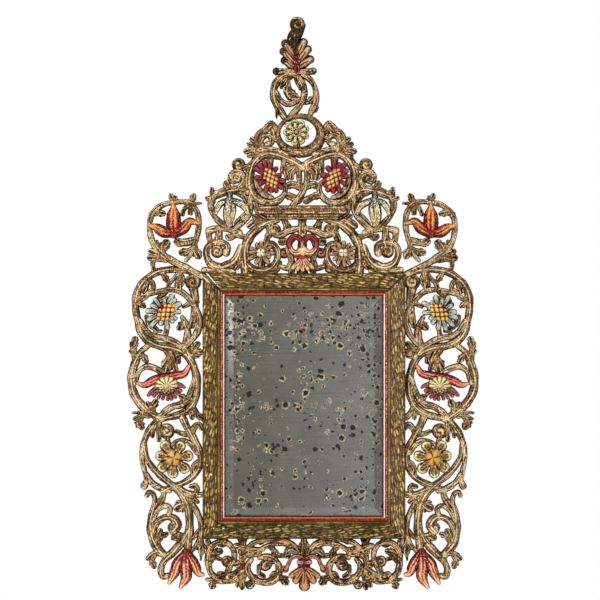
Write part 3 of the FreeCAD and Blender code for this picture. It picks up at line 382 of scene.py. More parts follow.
# %% [markdown]
# ## From a stroke to a carved strand
# A strand is a profile carried along a path. The path is a smooth line through the stroke's points; the
# profile is a dome with tool grooves. Because the profile is an array over (station, across), a whole
# strand is one calculation. Curves with a bevel object would be quicker to set up, but they can't change
# their section freely.

# %% A smooth line with a width
END_TURNS = np.radians([82.0, 64.0, 45.0, 25.0])
FEWEST_STATIONS = 5


def smooth_line(points, per_span=14):
    """Catmull-Rom line: each span is the cubic that leaves a point along the chord between its neighbours."""
    q = np.vstack([2 * points[0] - points[1], points, 2 * points[-1] - points[-2]])
    a, b, c, d = (q[i:len(q) - 3 + i, None, :] for i in range(4))
    t = np.linspace(0, 1, per_span, endpoint=False)[None, :, None]
    line = b + 0.5 * t * (c - a + t * (2 * a - 5 * b + 4 * c - d + t * (3 * (b - c) + d - a)))
    return np.vstack([line.reshape(-1, 2), points[-1:]])


def along(points, widths, step):
    """Stations of a strand: middle, sideways unit vector, half width, full half width, run and length.

    Past each end the half width follows a circle, r times the cosine, so that the strand ends round.
    """
    line = smooth_line(points)
    s = np.concatenate([[0.0], np.cumsum(np.linalg.norm(np.diff(line, axis=0), axis=1))])
    length = s[-1]
    body = np.linspace(0, length, max(int(length / step), FEWEST_STATIONS))
    first, last = widths[0] / 2, widths[-1] / 2
    lead, trail = END_TURNS, END_TURNS[::-1]
    at = np.concatenate([-first * np.sin(lead), body, length + last * np.sin(trail)])
    full = np.interp(at, np.linspace(0, length, len(widths)), widths) / 2
    half = np.concatenate([first * np.cos(lead), full[len(lead):-len(trail)], last * np.cos(trail)])
    head = line[0] - (line[1] - line[0]) / s[1] * first
    tail = line[-1] + (line[-1] - line[-2]) / (s[-1] - s[-2]) * last
    line = np.vstack([head, line, tail])
    s = np.concatenate([[-first], s, [length + last]])
    middle = np.stack([np.interp(at, s, line[:, 0]), np.interp(at, s, line[:, 1])], -1)
    way = np.gradient(middle, at, axis=0)
    way /= np.linalg.norm(way, axis=1, keepdims=True) + 1e-9
    side = np.stack([-way[:, 1], way[:, 0]], -1)
    return middle, side, half, full, np.clip(at / length, 0, 1), length


print("a stroke has", len(along(*squares(WING)[0], 1.0)[2]), "stations")


# %% Curves that the profiles share
ACROSS = -np.cos(np.linspace(0, np.pi, 21))


def ease(low, high, value):
    """Smooth step from 0 below low to 1 above high: t squared times (3 minus 2 t)."""
    t = np.clip((value - low) / (high - low), 0, 1)
    return t * t * (3 - 2 * t)


def plateau(edges, value):
    """1 between the two inner edges, 0 outside the two outer ones: one smooth step up times one down."""
    return ease(edges[0], edges[1], value) * ease(edges[3], edges[2], value)


def bell(offset, width):
    """Bell curve: e to the minus (offset over width) squared."""
    return np.exp(-(offset / width) ** 2)


def raised(angle):
    """Raised cosine, from 0 to 1: half of one plus the cosine."""
    return 0.5 + 0.5 * np.cos(angle)


def dome(u, power=2.4, fall=0.6):
    """Rounded section: (1 minus |u| to a power) to another power, 1 in the middle and 0 at the edges."""
    return (1 - np.abs(u) ** power).clip(0) ** fall


print("profiles have", len(ACROSS), "points across the front")

# %% Profiles of vines and leaves
# Each profile gives a height and a ridge. The ridge is painted light: low in grooves, hollows and at edges
# for painted shade, high on crests for painted highlights.
WIDE_VINE = 3.6
GROOVE_ENDS = (0, 0.06, 0.94, 1)


def vine(u, run, full, chance):
    """A dome less one or two V-tool grooves, bell curves that wander by a sine; wide strands get two."""
    places = [0.06] if full.mean() < WIDE_VINE else [-0.36, 0.36]
    wander = 0.15 * np.sin(run * 11 + chance * 6.3)
    keen = 0.72 + 0.28 * np.sin(run * 17 + chance * 40)
    cut = sum(bell(u - place - wander, 0.19) for place in places) * keen
    cut = cut * plateau(GROOVE_ENDS, run)
    rise = 0.82 + 0.18 * ease(0, 0.12, run)
    return dome(u) * rise * (1 - 0.36 * cut), dome(u, 2.0, 1.35) * (1.26 - 0.98 * cut)


def leaf(u, run, full, chance):
    """A short leaf: a dome rising from its stem, less a bell-shaped scoop at the tip, with a painted
    highlight along its rim and painted shade in the scoop and vein.
    """
    tip = ease(0.35, 0.9, run)
    scoop = tip * bell(u + 0.12, 0.38)
    vein = bell(u - 0.1, 0.14) * ease(0.7, 0.3, run)
    rim = tip * bell(np.abs(u) - 0.62, 0.16)
    rise = 0.66 + 0.34 * ease(0, 0.5, run)
    height = dome(u) * rise * (1 - 0.44 * scoop - 0.24 * vein)
    return height, dome(u, 2.2, 1.1) * (0.92 - 0.8 * scoop - 0.7 * vein + 0.55 * rim)


print("a vine over", 2 * WIDE_VINE, "squares wide has two grooves")

# %% Profiles of petals
WIDE_PETAL = 3.4


def petal(u, run, full, chance):
    """A low dome less a bell-shaped middle line, and two side veins where it is wide; all fade at the tip."""
    bend = 0.08 * np.sin(run * 5 + chance * 9)
    middle = bell(u - bend, 0.14) * ease(0.98, 0.75, run)
    sides = bell(np.abs(u) - 0.56, 0.12) * ease(0.97, 0.7, run) * (full.mean() > WIDE_PETAL)
    rise = 0.66 + 0.34 * ease(0, 0.5, run)
    lit = 0.6 + 0.4 * ease(0, 0.35, run)
    height = dome(u, 2.8, 0.5) * rise * (1 - 0.3 * middle - 0.2 * sides)
    return height, dome(u, 2.2, 1.2) * (1.02 - 0.7 * middle - 0.56 * sides) * lit


def cupped(u, run, full, chance):
    """A round petal: a low dome less a bell-shaped hollow in its outer half, with a cosine of faint veins."""
    hollow = ease(0.3, 0.7, run) * bell(u, 0.42)
    veins = raised(u * 14 + chance * 3)
    rise = 0.6 + 0.4 * ease(0, 0.7, run)
    height = dome(u, 2.8, 0.5) * rise * (1 - 0.42 * hollow)
    return height, dome(u, 2.4, 1.2) * rise * (1.14 - 0.42 * hollow - 0.42 * veins)


print("a petal over", 2 * WIDE_PETAL, "squares wide has side veins")


# %% Profiles of hoops, scales and bars
def hoop(u, run, full, chance):
    """A broad flat hoop: a squarish dome less a bell-shaped line near each edge."""
    lines = bell(np.abs(u) - 0.62, 0.1)
    wave = 1 + 0.1 * np.sin(run * 30)
    return dome(u, 5.0, 0.5) * (1 - 0.15 * lines * wave), dome(u, 4.0, 0.8) * (0.6 - 0.5 * lines) * wave


def scales(u, run, full, chance):
    """Overlapping leaf scales: a saw wave along the strand, bent back at the edges as a chevron."""
    wave = run * 7 + 1.4 * np.abs(u)
    saw = wave - np.floor(wave)
    mark = saw * np.abs(np.sin(np.pi * (u * 1.5 + 0.5 * np.floor(wave))))
    return dome(u, 2.6, 0.5) * (0.74 + 0.26 * mark), dome(u, 2.6, 0.7) * (0.05 + 0.95 * mark)


def flutes(u, run, full, chance):
    """Two rows of upright ticks along a bar: the size of a sine, shifted half a tick between the rows."""
    shift = 0.5 * np.floor(u + 1) + 0.3 * np.sin(run * 37 + chance * 9)
    wave = np.abs(np.sin(np.pi * (run * 33 + shift)))
    groove = bell(u, 0.16)
    height = dome(u, 5.0, 0.5) * (0.82 + 0.18 * wave - 0.16 * groove)
    return height, dome(u, 4.0, 0.7) * (0.42 + 0.4 * wave) * (1 - 0.6 * groove)


print("seven profiles, each with its height and its ridge")

# %% [markdown]
# ## Shells and pieces
# A strand, a knob and a moulding all have the same skin: rings of points, each ring closed, with a flat
# face at both ends. One function joins the rings into quads and turns the faces outwards, and one puts
# many shells into a single mesh. Five numbers per point go with it, for the materials: ridge (0 in
# hollows, 1 on crests; the finishes paint shade where it is low and highlights where it is high), run (0
# at the root, 1 at the tip), tone (chance), bare (1 where the white ground shows) and side (-1 to 1
# across a strand).

# %% Rings into closed shells
def shell(rings, ridge, run, tone=0.5, skin=0, looped=False, bare=0.0, side=0.0):
    """Rings (k, m, 3) into quads between neighbours; the end rings become faces unless the shell is looped.

    The signed volume, the sum of a . (b x c) over corners, tells which way the faces point.
    """
    k, m = rings.shape[:2]
    i, j = np.meshgrid(np.arange(k if looped else k - 1), np.arange(m), indexing="ij")
    n, up = (j + 1) % m, (i + 1) % k
    quads = np.stack([i * m + j, i * m + n, up * m + n, up * m + j], -1).reshape(-1, 4)
    ends = np.stack([np.arange(m)[::-1], (k - 1) * m + np.arange(m)])[:0 if looped else 2]
    co = rings.reshape(-1, 3)
    a, b, c, d = (co[quads[:, corner]] - co.mean(0) for corner in range(4))
    volume = (a * np.cross(b, c)).sum() + (a * np.cross(c, d)).sum()
    if volume < 0:
        quads, ends = quads[:, ::-1], ends[:, ::-1]
    skins = np.broadcast_to(skin, (i.shape[0], m)).reshape(-1)
    numbers = dict(ridge=ridge, run=run, tone=tone, bare=bare, side=side)
    numbers = {key: np.broadcast_to(value, (k, m)).reshape(-1) for key, value in numbers.items()}
    return dict(co=co, quads=quads, ends=ends, skins=skins, **numbers)


print("a shell of 3 rings of 4 has", len(shell(np.ones((3, 4, 3)), 0, 0)["quads"]), "quads")

# %% Strands
luck = np.random.default_rng(7)
FLAT = np.array([0.97, 0.4, -0.4, -0.97])
ROUND = np.concatenate([ACROSS, FLAT])[None, :]
BACK_SKIN, BACK_PLAY = 0, 0.0008
SIDE_RIDGE = 0.4


def skins_round(skin):
    """Skins of the faces round a strand: its own in front and at the sides, bare wood behind."""
    kinds = np.full(ROUND.shape, skin)
    kinds[:, len(ACROSS):-1] = BACK_SKIN
    return kinds


def backed(front, behind):
    """Values over the front of each ring, then one value over its flat back."""
    return np.concatenate([front, np.full((len(front), len(FLAT)), behind)], 1)


def strand(points, widths, profile, bed, top, turn=as_drawn, skin=1, step=1.0, sway=0.0):
    """One carved strand on a bed, which is the y of its back and of its edge, up to the y of its top.

    Its front is edge + (top - edge) x profile x end rounding, and its half width sways by two sines. The
    back lies a hair nearer or further by chance, so that no two backs share a plane.
    """
    back, edge = bed
    middle, side, half, full, run, length = along(turn(points), widths, step)
    chance = luck.random()
    at = run * length
    half = half * (1 + sway * (np.sin(at / 2.6 + 9 * chance) + np.sin(at / 6.1 + 5 * chance)))
    height, ridge = profile(ACROSS[None, :], run[:, None], full, chance)
    round_off = np.sqrt(half / np.maximum(full, half))[:, None]
    y = backed(edge + (top - edge) * height * round_off, back + BACK_PLAY * chance)
    # Painted shade: the ridge fades where the strand rounds off at its ends.
    ridge = backed(ridge * ease(0.1, 0.8, round_off), SIDE_RIDGE)
    place = middle[:, None, :] + side[:, None, :] * (ROUND * half[:, None])[:, :, None]
    return shell(in_room(place, y), ridge, run[:, None], chance, skins_round(skin), side=ROUND)


print("a strand has", ROUND.size, "points round it")

# %% Knobs
KNOB_RINGS, KNOB_SPOKES = 13, 40
KNOB_BACK = [0.96, 0.3]


def knob(centre, half, tilt, pattern, bed, top, turn=as_drawn, skin=1, blush=90.0, fine=1):
    """A round boss: rings of an ellipse from the middle of its front, over its edge, to its back.

    The front is edge + (top - edge) x the square root of (1 - radius squared) x the pattern. The run falls
    with the radius squared x a raised cosine, so that it is 0 only near the rim at the angle blush.
    """
    back, edge = bed
    chance = luck.random()
    rho = np.concatenate([np.sin(np.linspace(0.07, np.pi / 2, KNOB_RINGS * fine)), KNOB_BACK])[:, None]
    phi = np.linspace(0, 2 * np.pi, KNOB_SPOKES * fine, endpoint=False)[None, :]
    shade, ridge = pattern(rho, phi)
    y = edge + (top - edge) * np.sqrt((1 - rho ** 2).clip(0)) * shade
    y[-2:] = back + BACK_PLAY * chance
    # Painted shade: the last ring of the front, at the edge of the boss, is kept dark.
    ridge[-3] = 0
    ridge[-2:] = SIDE_RIDGE
    c, s = np.cos(np.radians(tilt)), np.sin(np.radians(tilt))
    u, v = half[0] * rho * np.cos(phi), half[1] * rho * np.sin(phi)
    flat = np.stack([centre[0] + u * c - v * s, centre[1] - u * s - v * c], -1)
    kinds = np.full((len(rho) - 1, 1), skin)
    kinds[-1] = BACK_SKIN
    run = 1.1 - 1.9 * rho ** 2 * raised(phi - np.radians(blush)) ** 1.5
    return shell(in_room(turn(flat), y), ridge, run, chance, kinds)


print("a knob has", KNOB_RINGS + len(KNOB_BACK), "rings")


# %% Patterns on curls
def spiral(rho, phi):
    """A curled bud: a groove that winds out from the middle, cosine of turns x radius less the angle."""
    wave = raised(2 * np.pi * 1.5 * rho - phi)
    return 0.8 + 0.2 * wave, (0.2 + 0.65 * wave) * (1 - 0.7 * rho ** 4)


def curl(rho, phi):
    """The same bud, darker: all its ridges are as dull as hollows."""
    shade, ridge = spiral(rho, phi)
    return shade, 0.4 * ridge


print("two patterns for curls")


# %% Patterns on the hearts of flowers
def net(rho, phi):
    """Crossed cuts: the product of two slanting sines over the oval leaves lozenges between its zeros."""
    x, y = rho * np.cos(phi), rho * np.sin(phi)
    lozenge = np.abs(np.sin(6.4 * x + 4.4 * y) * np.sin(6.4 * x - 4.4 * y)) ** 0.6
    return 0.8 + 0.2 * lozenge, (0.02 + 0.98 * lozenge) * (1 - 0.75 * rho ** 6)


def gadroon(rho, phi):
    """Broad lobes, the size of a cosine, fan over the upper part; crossed spirals leave scales below."""
    lobes = np.abs(np.cos(6 * phi)) ** 0.8 * ease(0.1, 0.35, rho) + 0.55 * ease(0.3, 0.1, rho)
    seeds = np.abs(np.sin(6 * phi + 9 * rho) * np.sin(6 * phi - 9 * rho)) ** 0.6
    upper = ease(-0.35, -0.15, np.sin(phi) * rho)
    mark = upper * lobes + (1 - upper) * 0.75 * seeds
    return 0.78 + 0.22 * mark, (0.02 + 0.98 * mark) * (1 - 0.75 * rho ** 8)


def quarters(rho, phi):
    """A bud parted by a cross: the size of the sine of twice the angle dips at each cut."""
    part = np.abs(np.sin(2 * phi + 0.6)) ** 0.5
    return 0.76 + 0.24 * part, (0.02 + 0.98 * part) * (1 - 0.85 * rho ** 7)


def bead(rho, phi):
    """A dome less a bell-shaped ring round its middle, notched by a cosine outside the ring."""
    ring = bell(rho - 0.5, 0.12)
    notch = 0.7 + 0.3 * raised(9 * phi) * (rho > 0.5)
    return 0.95 - 0.3 * ring + 0 * phi, (1 - 0.8 * ring) * notch * (1 - 0.4 * rho ** 6)


def cup(rho, phi):
    """A round petal with a sunk middle: one raised cosine paints a highlight on one side of its outer rim
    (phi 0) and leaves painted shade in the middle, another makes veins.
    """
    rim = ease(0.35, 0.75, rho) * raised(phi)
    veins = raised(13 * rho * np.sin(phi))
    return 0.7 + 0.3 * ease(0.25, 0.72, rho) + 0 * phi, (0.32 + 0.76 * rim + 0.2 * veins) * (1 - rho ** 6)


print("five patterns for hearts")

# %% Shells into one piece
SHARP_ANGLE = np.radians(52)
NUMBERS = ("ridge", "run", "tone", "bare", "side")


def piece(name, shells, materials, node, body="mirror"):
    """Joins shells into one mesh at the origin, with numbers for the materials, in place of a CAD node."""
    first = np.concatenate([[0], np.cumsum([len(s["co"]) for s in shells])])
    faces = []
    for s, start in zip(shells, first):
        faces.append((s["quads"] + start, s["skins"]))
        if len(s["ends"]):
            faces.append((s["ends"] + start, s["skins"][[0, -1]]))
    loops = np.concatenate([f.reshape(-1) for f, _ in faces])
    sizes = np.concatenate([np.full(len(f), f.shape[1]) for f, _ in faces])
    mesh = bpy.data.meshes.new(name)
    mesh.vertices.add(first[-1])
    mesh.vertices.foreach_set("co", np.concatenate([s["co"] for s in shells]).reshape(-1))
    mesh.loops.add(len(loops))
    mesh.loops.foreach_set("vertex_index", loops)
    mesh.polygons.add(len(sizes))
    mesh.polygons.foreach_set("loop_start", np.cumsum(sizes) - sizes)
    mesh.polygons.foreach_set("material_index", np.concatenate([k for _, k in faces]))
    mesh.update(calc_edges=True)
    mesh.polygons.foreach_set("use_smooth", np.ones(len(sizes), bool))
    mesh.set_sharp_from_angle(angle=SHARP_ANGLE)
    for key in NUMBERS:
        values = np.concatenate([s[key] for s in shells])
        mesh.attributes.new(key, "FLOAT", "POINT").data.foreach_set("value", values)
    for material in materials:
        mesh.materials.append(material)
    made = bpy.data.objects.new(name, mesh)
    bpy.context.scene.collection.objects.link(made)
    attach(made, body)
    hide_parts(node)
    print(name, (sizes - 2).sum(), "triangles")


print("edges over", round(np.degrees(SHARP_ANGLE)), "degrees stay sharp")

# %% [markdown]
# ## Finishes
# Old water gilding has worn to the clay on every edge and gone brown in every hollow. Over that, the gilding
# and the paint carry painted light: painted shade in hollows and at edges, painted highlights on crests. The
# same few effects serve all the finishes, so they are node groups: gilding with wear and painted light, paint
# with age and painted light, sawn wood and foxed silver.
# Each material then sets its own colours on the group and keeps its own shader. Painted images would also
# do, but they need a flat map of every strand.

# %% Nodes and arithmetic
def tint(red, green, blue):
    """A colour written as 0 to 255 values on the screen, turned to linear light."""
    c = np.array([red, green, blue]) / 255
    return (*np.where(c <= 0.04045, c / 12.92, ((c + 0.055) / 1.055) ** 2.4), 1.0)


def put(tree, kind, inputs=None, **settings):
    """A new node: settings are its properties, inputs are values or sockets to link."""
    made = tree.nodes.new(kind)
    for key, value in settings.items():
        setattr(made, key, value)
    for key, value in (inputs or {}).items():
        if isinstance(value, bpy.types.NodeSocket):
            tree.links.new(value, made.inputs[key])
        else:
            made.inputs[key].default_value = value
    return made


def calc(tree, operation, a, b=0.0):
    """One step of arithmetic."""
    return put(tree, "ShaderNodeMath", {0: a, 1: b}, operation=operation).outputs[0]


def plus(tree, a, b):
    """a + b."""
    return calc(tree, "ADD", a, b)


def times(tree, a, b):
    """a x b."""
    return calc(tree, "MULTIPLY", a, b)


def swung(tree, noise, amount):
    """Noise about its middle: (noise - 0.5) x amount."""
    return times(tree, calc(tree, "SUBTRACT", noise, 0.5), amount)


def vector(tree, operation, a, b):
    """One step of arithmetic on vectors; a scale is a single number."""
    key = "Scale" if operation == "SCALE" else 1
    return put(tree, "ShaderNodeVectorMath", {0: a, key: b}, operation=operation).outputs[0]


print("tint(128, 128, 128) is", round(tint(128, 128, 128)[0], 3), "in linear light")


# %% Colours and noise
CLOUD_ROUGHNESS = 0.6


def mixed(tree, share, a, b, way="MIX"):
    """Two colours mixed by a share."""
    node = put(tree, "ShaderNodeMix", {0: share, 6: a, 7: b}, data_type="RGBA", blend_type=way)
    return node.outputs[2]


def window(tree, value, low, high):
    """0 below low, 1 above high, smooth between."""
    node = put(tree, "ShaderNodeMapRange", {0: value, 1: low, 2: high}, interpolation_type="SMOOTHSTEP")
    return node.outputs[0]


def washed(tree, colour, over, value, low, high, share=None):
    """A colour with another over it: none where the value is below low, all or a share of it above high."""
    amount = window(tree, value, low, high)
    if share is not None:
        amount = times(tree, amount, share)
    return mixed(tree, amount, colour, over)


def object_place(tree):
    """The place on the piece, in metres."""
    return put(tree, "ShaderNodeTexCoord").outputs["Object"]


def cloud(tree, place, scale, detail=4.0):
    """Noise of one scale, from 0 to 1."""
    inputs = {"Vector": place, "Scale": scale, "Detail": detail, "Roughness": CLOUD_ROUGHNESS}
    return put(tree, "ShaderNodeTexNoise", inputs).outputs["Fac"]


print("clouds of roughness", CLOUD_ROUGHNESS)


# %% Helpers for groups and materials
def effect(name, inputs, outputs):
    """An empty node group with named sockets; a colour input is given as a tuple, a number as a float."""
    tree = bpy.data.node_groups.new(name, "ShaderNodeTree")
    for key, value in inputs.items():
        kind = "NodeSocketColor" if isinstance(value, tuple) else "NodeSocketFloat"
        tree.interface.new_socket(name=key, in_out="INPUT", socket_type=kind).default_value = value
    for key, kind in outputs.items():
        tree.interface.new_socket(name=key, in_out="OUTPUT", socket_type="NodeSocket" + kind)
    return tree, tree.nodes.new("NodeGroupInput").outputs


def give(tree, **sockets):
    """Ends a group: links each socket to the output of that name."""
    go = put(tree, "NodeGroupOutput")
    for key, socket in sockets.items():
        tree.links.new(socket, go.inputs[key])
    print(tree.name, "has", len(tree.nodes), "nodes")


def blank(name):
    """A new material, with its tree and its shader."""
    made = bpy.data.materials.new(name)
    made.use_nodes = True
    return made, made.node_tree, made.node_tree.nodes["Principled BSDF"]


WORN = dict(Colour="Color", Roughness="Float", Height="Float")
print("a worn finish puts out", ", ".join(WORN))

# %% Gilding, worn, with painted shade and painted highlights
gilt_inputs = dict(Ridge=0.5, Tone=0.5, Bare=0.0, Side=0.0, Dirt=1.0)
gilt_inputs.update(Dark=tint(18, 11, 7), Gold=tint(144, 107, 69), Bright=tint(255, 232, 182))
gilding_wear_and_light, come = effect("gilding with wear and painted light", gilt_inputs, WORN)
t = gilding_wear_and_light
spot = object_place(t)
patch = cloud(t, spot, 26.0, 3.0)
clay = cloud(t, spot, 60.0, 3.0)
grime = cloud(t, spot, 150.0)
fine = cloud(t, spot, 330.0, 2.0)
# Painted highlight lines run along each strand: a cosine of the side number, made patchy by the clay noise.
swing = plus(t, 3.5, times(t, patch, 5.0))
line = calc(t, "ABSOLUTE", calc(t, "COSINE", times(t, come["Side"], swing)))
gleam = calc(t, "SUBTRACT", times(t, window(t, clay, 0.4, 0.6), 1.2), 0.7)
gleam = plus(t, 1.0, times(t, gleam, come["Dirt"]))
gleam = times(t, gleam, calc(t, "POWER", line, 1.6))
level = times(t, come["Ridge"], plus(t, 0.46, times(t, gleam, 0.54)))
for noise, amount in ((patch, 0.25), (grime, 0.9), (fine, 1.9), (come["Tone"], 0.1)):
    level = plus(t, level, swung(t, noise, times(t, come["Dirt"], amount)))
# Painted shade and painted highlight: a low level gives Dark, patina in the hollows with painted shade; a
# high level gives Bright, a painted highlight on crests.
colour = washed(t, come["Dark"], come["Gold"], level, 0.04, 0.48)
colour = washed(t, colour, come["Bright"], level, 0.54, 0.92)
colour = washed(t, colour, tint(104, 96, 62), patch, 0.5, 0.66, 0.3)
colour = washed(t, colour, tint(142, 82, 62), clay, 0.52, 0.66, 0.3)
colour = washed(t, colour, tint(236, 224, 190), plus(t, come["Bare"], swung(t, grime, 2.0)), 0.62, 0.78)
rough = calc(t, "SUBTRACT", 0.68, times(t, level, 0.26))
give(t, Colour=colour, Roughness=rough, Height=plus(t, times(t, grime, 0.7), times(t, fine, 0.3)))

# %% Aged paint over gilding, with painted shade and painted highlights
paint_inputs = dict(Ridge=0.5, Run=0.5, Tone=0.5, Root=tint(150, 30, 45), Tip=tint(205, 105, 60))
paint_inputs.update(Other=tint(205, 105, 60), Worn=tint(225, 185, 120), Wear=0.5)
paint_age_and_light, come = effect("paint with age and painted light", paint_inputs, WORN)
t = paint_age_and_light
spot = object_place(t)
patch = cloud(t, spot, 70.0, 3.0)
grime = cloud(t, spot, 210.0)
fine = cloud(t, spot, 420.0, 2.0)
reach = plus(t, come["Run"], swung(t, patch, 0.7))
tip = washed(t, come["Tip"], come["Other"], come["Tone"], 0.45, 0.55)
colour = washed(t, come["Root"], tip, reach, 0.2, 0.85)
colour = washed(t, colour, tint(112, 82, 52), patch, 0.48, 0.68, 0.45)
level = plus(t, come["Ridge"], swung(t, grime, 1.0))
level = plus(t, level, swung(t, fine, 0.9))
# Painted shade: the colour is darkened where the level is low.
painted_shade_colour = mixed(t, 1.0, colour, tint(128, 108, 100), "MULTIPLY")
colour = washed(t, painted_shade_colour, colour, level, 0.25, 0.62)
# Paint worn through and brightened with a painted highlight where the level is high; the share sets how much.
colour = washed(t, colour, come["Worn"], level, 0.6, 0.88, come["Wear"])
# Painted shade: dark outlines where the level is lowest.
colour = washed(t, colour, tint(30, 17, 12), level, 0.42, 0.16)
rough = plus(t, 0.36, times(t, grime, 0.35))
give(t, Colour=colour, Roughness=rough, Height=plus(t, times(t, grime, 0.6), times(t, fine, 0.4)))

# %% Sawn wood
wood_inputs = dict(Early=tint(150, 116, 78), Late=tint(96, 66, 40), Across=60.0, Along=4.0)
sawn_wood, come = effect("sawn wood", wood_inputs, WORN)
t = sawn_wood
spot = object_place(t)
pull = put(t, "ShaderNodeCombineXYZ", {0: come["Across"], 1: come["Across"], 2: come["Along"]}).outputs[0]
grain_place = vector(t, "MULTIPLY", spot, pull)
grain = cloud(t, grain_place, 1.0, 6.0)
pores = cloud(t, grain_place, 7.0, 3.0)
stain = cloud(t, spot, 9.0, 3.0)
colour = washed(t, come["Late"], come["Early"], grain, 0.35, 0.65)
colour = washed(t, colour, tint(70, 48, 32), stain, 0.45, 0.7, 0.45)
colour = washed(t, colour, tint(60, 40, 26), pores, 0.6, 0.75, 0.5)
rough = plus(t, 0.6, times(t, pores, 0.25))
give(t, Colour=colour, Roughness=rough, Height=plus(t, times(t, grain, 0.5), times(t, pores, 0.5)))

# %% Materials that use the effects
BUMP_STRENGTH = 0.5


def finish(name, group, values, metal=0.0, depth=0.0006, gloss=0.2, carried=NUMBERS):
    """A material: the group gives colour, roughness and height; the shader stays here with plain values."""
    made, tree, shader = blank(name)
    worn = put(tree, "ShaderNodeGroup", node_tree=group)
    for key, value in values.items():
        worn.inputs[key].default_value = value
    for key in carried:
        if key.title() in worn.inputs:
            number = put(tree, "ShaderNodeAttribute", attribute_name=key)
            tree.links.new(number.outputs["Fac"], worn.inputs[key.title()])
    relief = {"Height": worn.outputs["Height"], "Distance": depth, "Strength": BUMP_STRENGTH}
    tree.links.new(put(tree, "ShaderNodeBump", relief).outputs["Normal"], shader.inputs["Normal"])
    tree.links.new(worn.outputs["Colour"], shader.inputs["Base Color"])
    tree.links.new(worn.outputs["Roughness"], shader.inputs["Roughness"])
    shader.inputs["Metallic"].default_value = metal
    shader.inputs["Specular IOR Level"].default_value = gloss
    return made


def gilding(name, dark, gold, bright, dirt_and_gleam=1.0, **settings):
    """Gilding in three colours of its own: in hollows, patina darkened with painted shade, on flats, and on
    ridges, worn and brightened with a painted highlight.
    """
    values = dict(Dark=tint(*dark), Gold=tint(*gold), Bright=tint(*bright), Dirt=dirt_and_gleam)
    return finish(name, gilding_wear_and_light, values, **settings)


def paint(name, root, tip, worn, wear_highlight=0.5, other=None):
    """Paint from a root to a tip colour, on some petals to another one, worn through and brightened with a
    painted highlight on its ridges, with painted shade in its hollows.
    """
    values = dict(Root=tint(*root), Tip=tint(*tip), Other=tint(*(other or tip)), Worn=tint(*worn), Wear=wear_highlight)
    return finish(name, paint_age_and_light, values)


def wood(name, early, late, depth, **grain):
    """Sawn wood in two colours of its own."""
    return finish(name, sawn_wood, dict(Early=tint(*early), Late=tint(*late), **grain), depth=depth)


print("finishes read", ", ".join(NUMBERS))

# %% Gilding, wood and iron
carved_gilt = finish("carved gilding", gilding_wear_and_light, {}, metal=0.25)
trunk_gilt = gilding("finial trunk gilding", (16, 11, 6), (84, 61, 35), (220, 180, 116), metal=0.2)
dark_gilt = gilding("finial gilding", (15, 9, 5), (101, 75, 48), (246, 208, 152), metal=0.2)
apron_gilt = gilding("apron gilding", (14, 9, 5), (106, 77, 47), (252, 210, 150), metal=0.2)
back_wood = finish("back wood", sawn_wood, {}, depth=0.0008)
peg_wood = wood("peg wood", (172, 136, 92), (120, 86, 54), 0.0004)
iron = gilding("forged iron", (30, 26, 24), (66, 60, 56), (120, 112, 104), metal=0.7, carried=())
print(len(bpy.data.materials), "materials so far")

# %% [markdown]
# ## The carved boards
# Each board is its strokes, carved one by one with the profile that suits them: long strokes are vines,
# short ones are leaves that rise from the vine and end in a spoon. Crossing strands get slightly different
# heights, so one passes over the other as the carver left them.

# %% Carving a board
BOARD_BED, TOP = (-0.006, -0.012), -0.0265
LOWEST, HIGHEST = -0.0012, 0.0016
LOBE_DROP, KNOB_RISE = 0.0025, 0.002
LONG_STROKE, LOBED = 26.0, 4.2
LOBE_RUN, LOBE_SPLAY, LOBE_SIZE = np.array([[0.34, 0.6, 0.82], [0.1, 0.36, 0.56], [0.5, 0.56, 0.46]])
SPREAD, BOARD_STEP, SWAY = 0.9, 1.25, 0.06


def lobes_of(points, widths):
    """Side lobes of a leaf: two short strokes that leave its middle line and splay out by half its width."""
    line = smooth_line(points)
    picks = line[(LOBE_RUN * (len(line) - 1)).astype(int)]
    way = line[-1] - line[len(line) // 3]
    side = np.array([-way[1], way[0]]) / np.linalg.norm(way)
    splay = LOBE_SPLAY[:, None] * widths[-1] * side
    size = LOBE_SIZE * widths[-1]
    return [(picks + splay, size), (picks - splay, size)]


def carve(strokes, knobs, turn=as_drawn, spread=SPREAD, step=BOARD_STEP):
    """All strands and knobs of a board, each with its own small rise; leaves with room get side lobes."""
    shells = []
    for points, widths in strokes:
        reach = np.linalg.norm(np.diff(points, axis=0), axis=1).sum()
        top = TOP - luck.uniform(LOWEST, HIGHEST)
        profile = vine if reach > LONG_STROKE else leaf
        shells.append(strand(points, widths + spread, profile, BOARD_BED, top, turn, step=step, sway=SWAY))
        if profile is leaf and len(points) > 2 and widths[-1] > LOBED:
            for lobe, size in lobes_of(points, widths):
                shells.append(strand(lobe, size, leaf, BOARD_BED, TOP + LOBE_DROP, turn))
    for points, widths in knobs:
        half = widths[0] / 2 + spread / 2
        shells.append(knob(points[0], (half, half), 0, spiral, BOARD_BED, TOP - KNOB_RISE, turn))
    return shells


def board(node, shells, *materials):
    """A carved board in place of its CAD node, with bare wood behind."""
    piece(node + "_carving", shells, [back_wood, *materials], node)


print("strokes over", LONG_STROKE, "squares long are vines")

# %% Wings
wing_strokes, wing_knobs = squares(WING), squares(WING_KNOBS)
board("left_wing", carve(wing_strokes, wing_knobs), carved_gilt)
board("right_wing", carve(wing_strokes, wing_knobs, right_wing), carved_gilt)

# %% Apron
apron_strokes = both(APRON, MIDDLE[0]) + squares(APRON_MIDDLE)
board("apron", carve(apron_strokes, both(APRON_KNOBS, MIDDLE[0])), apron_gilt)

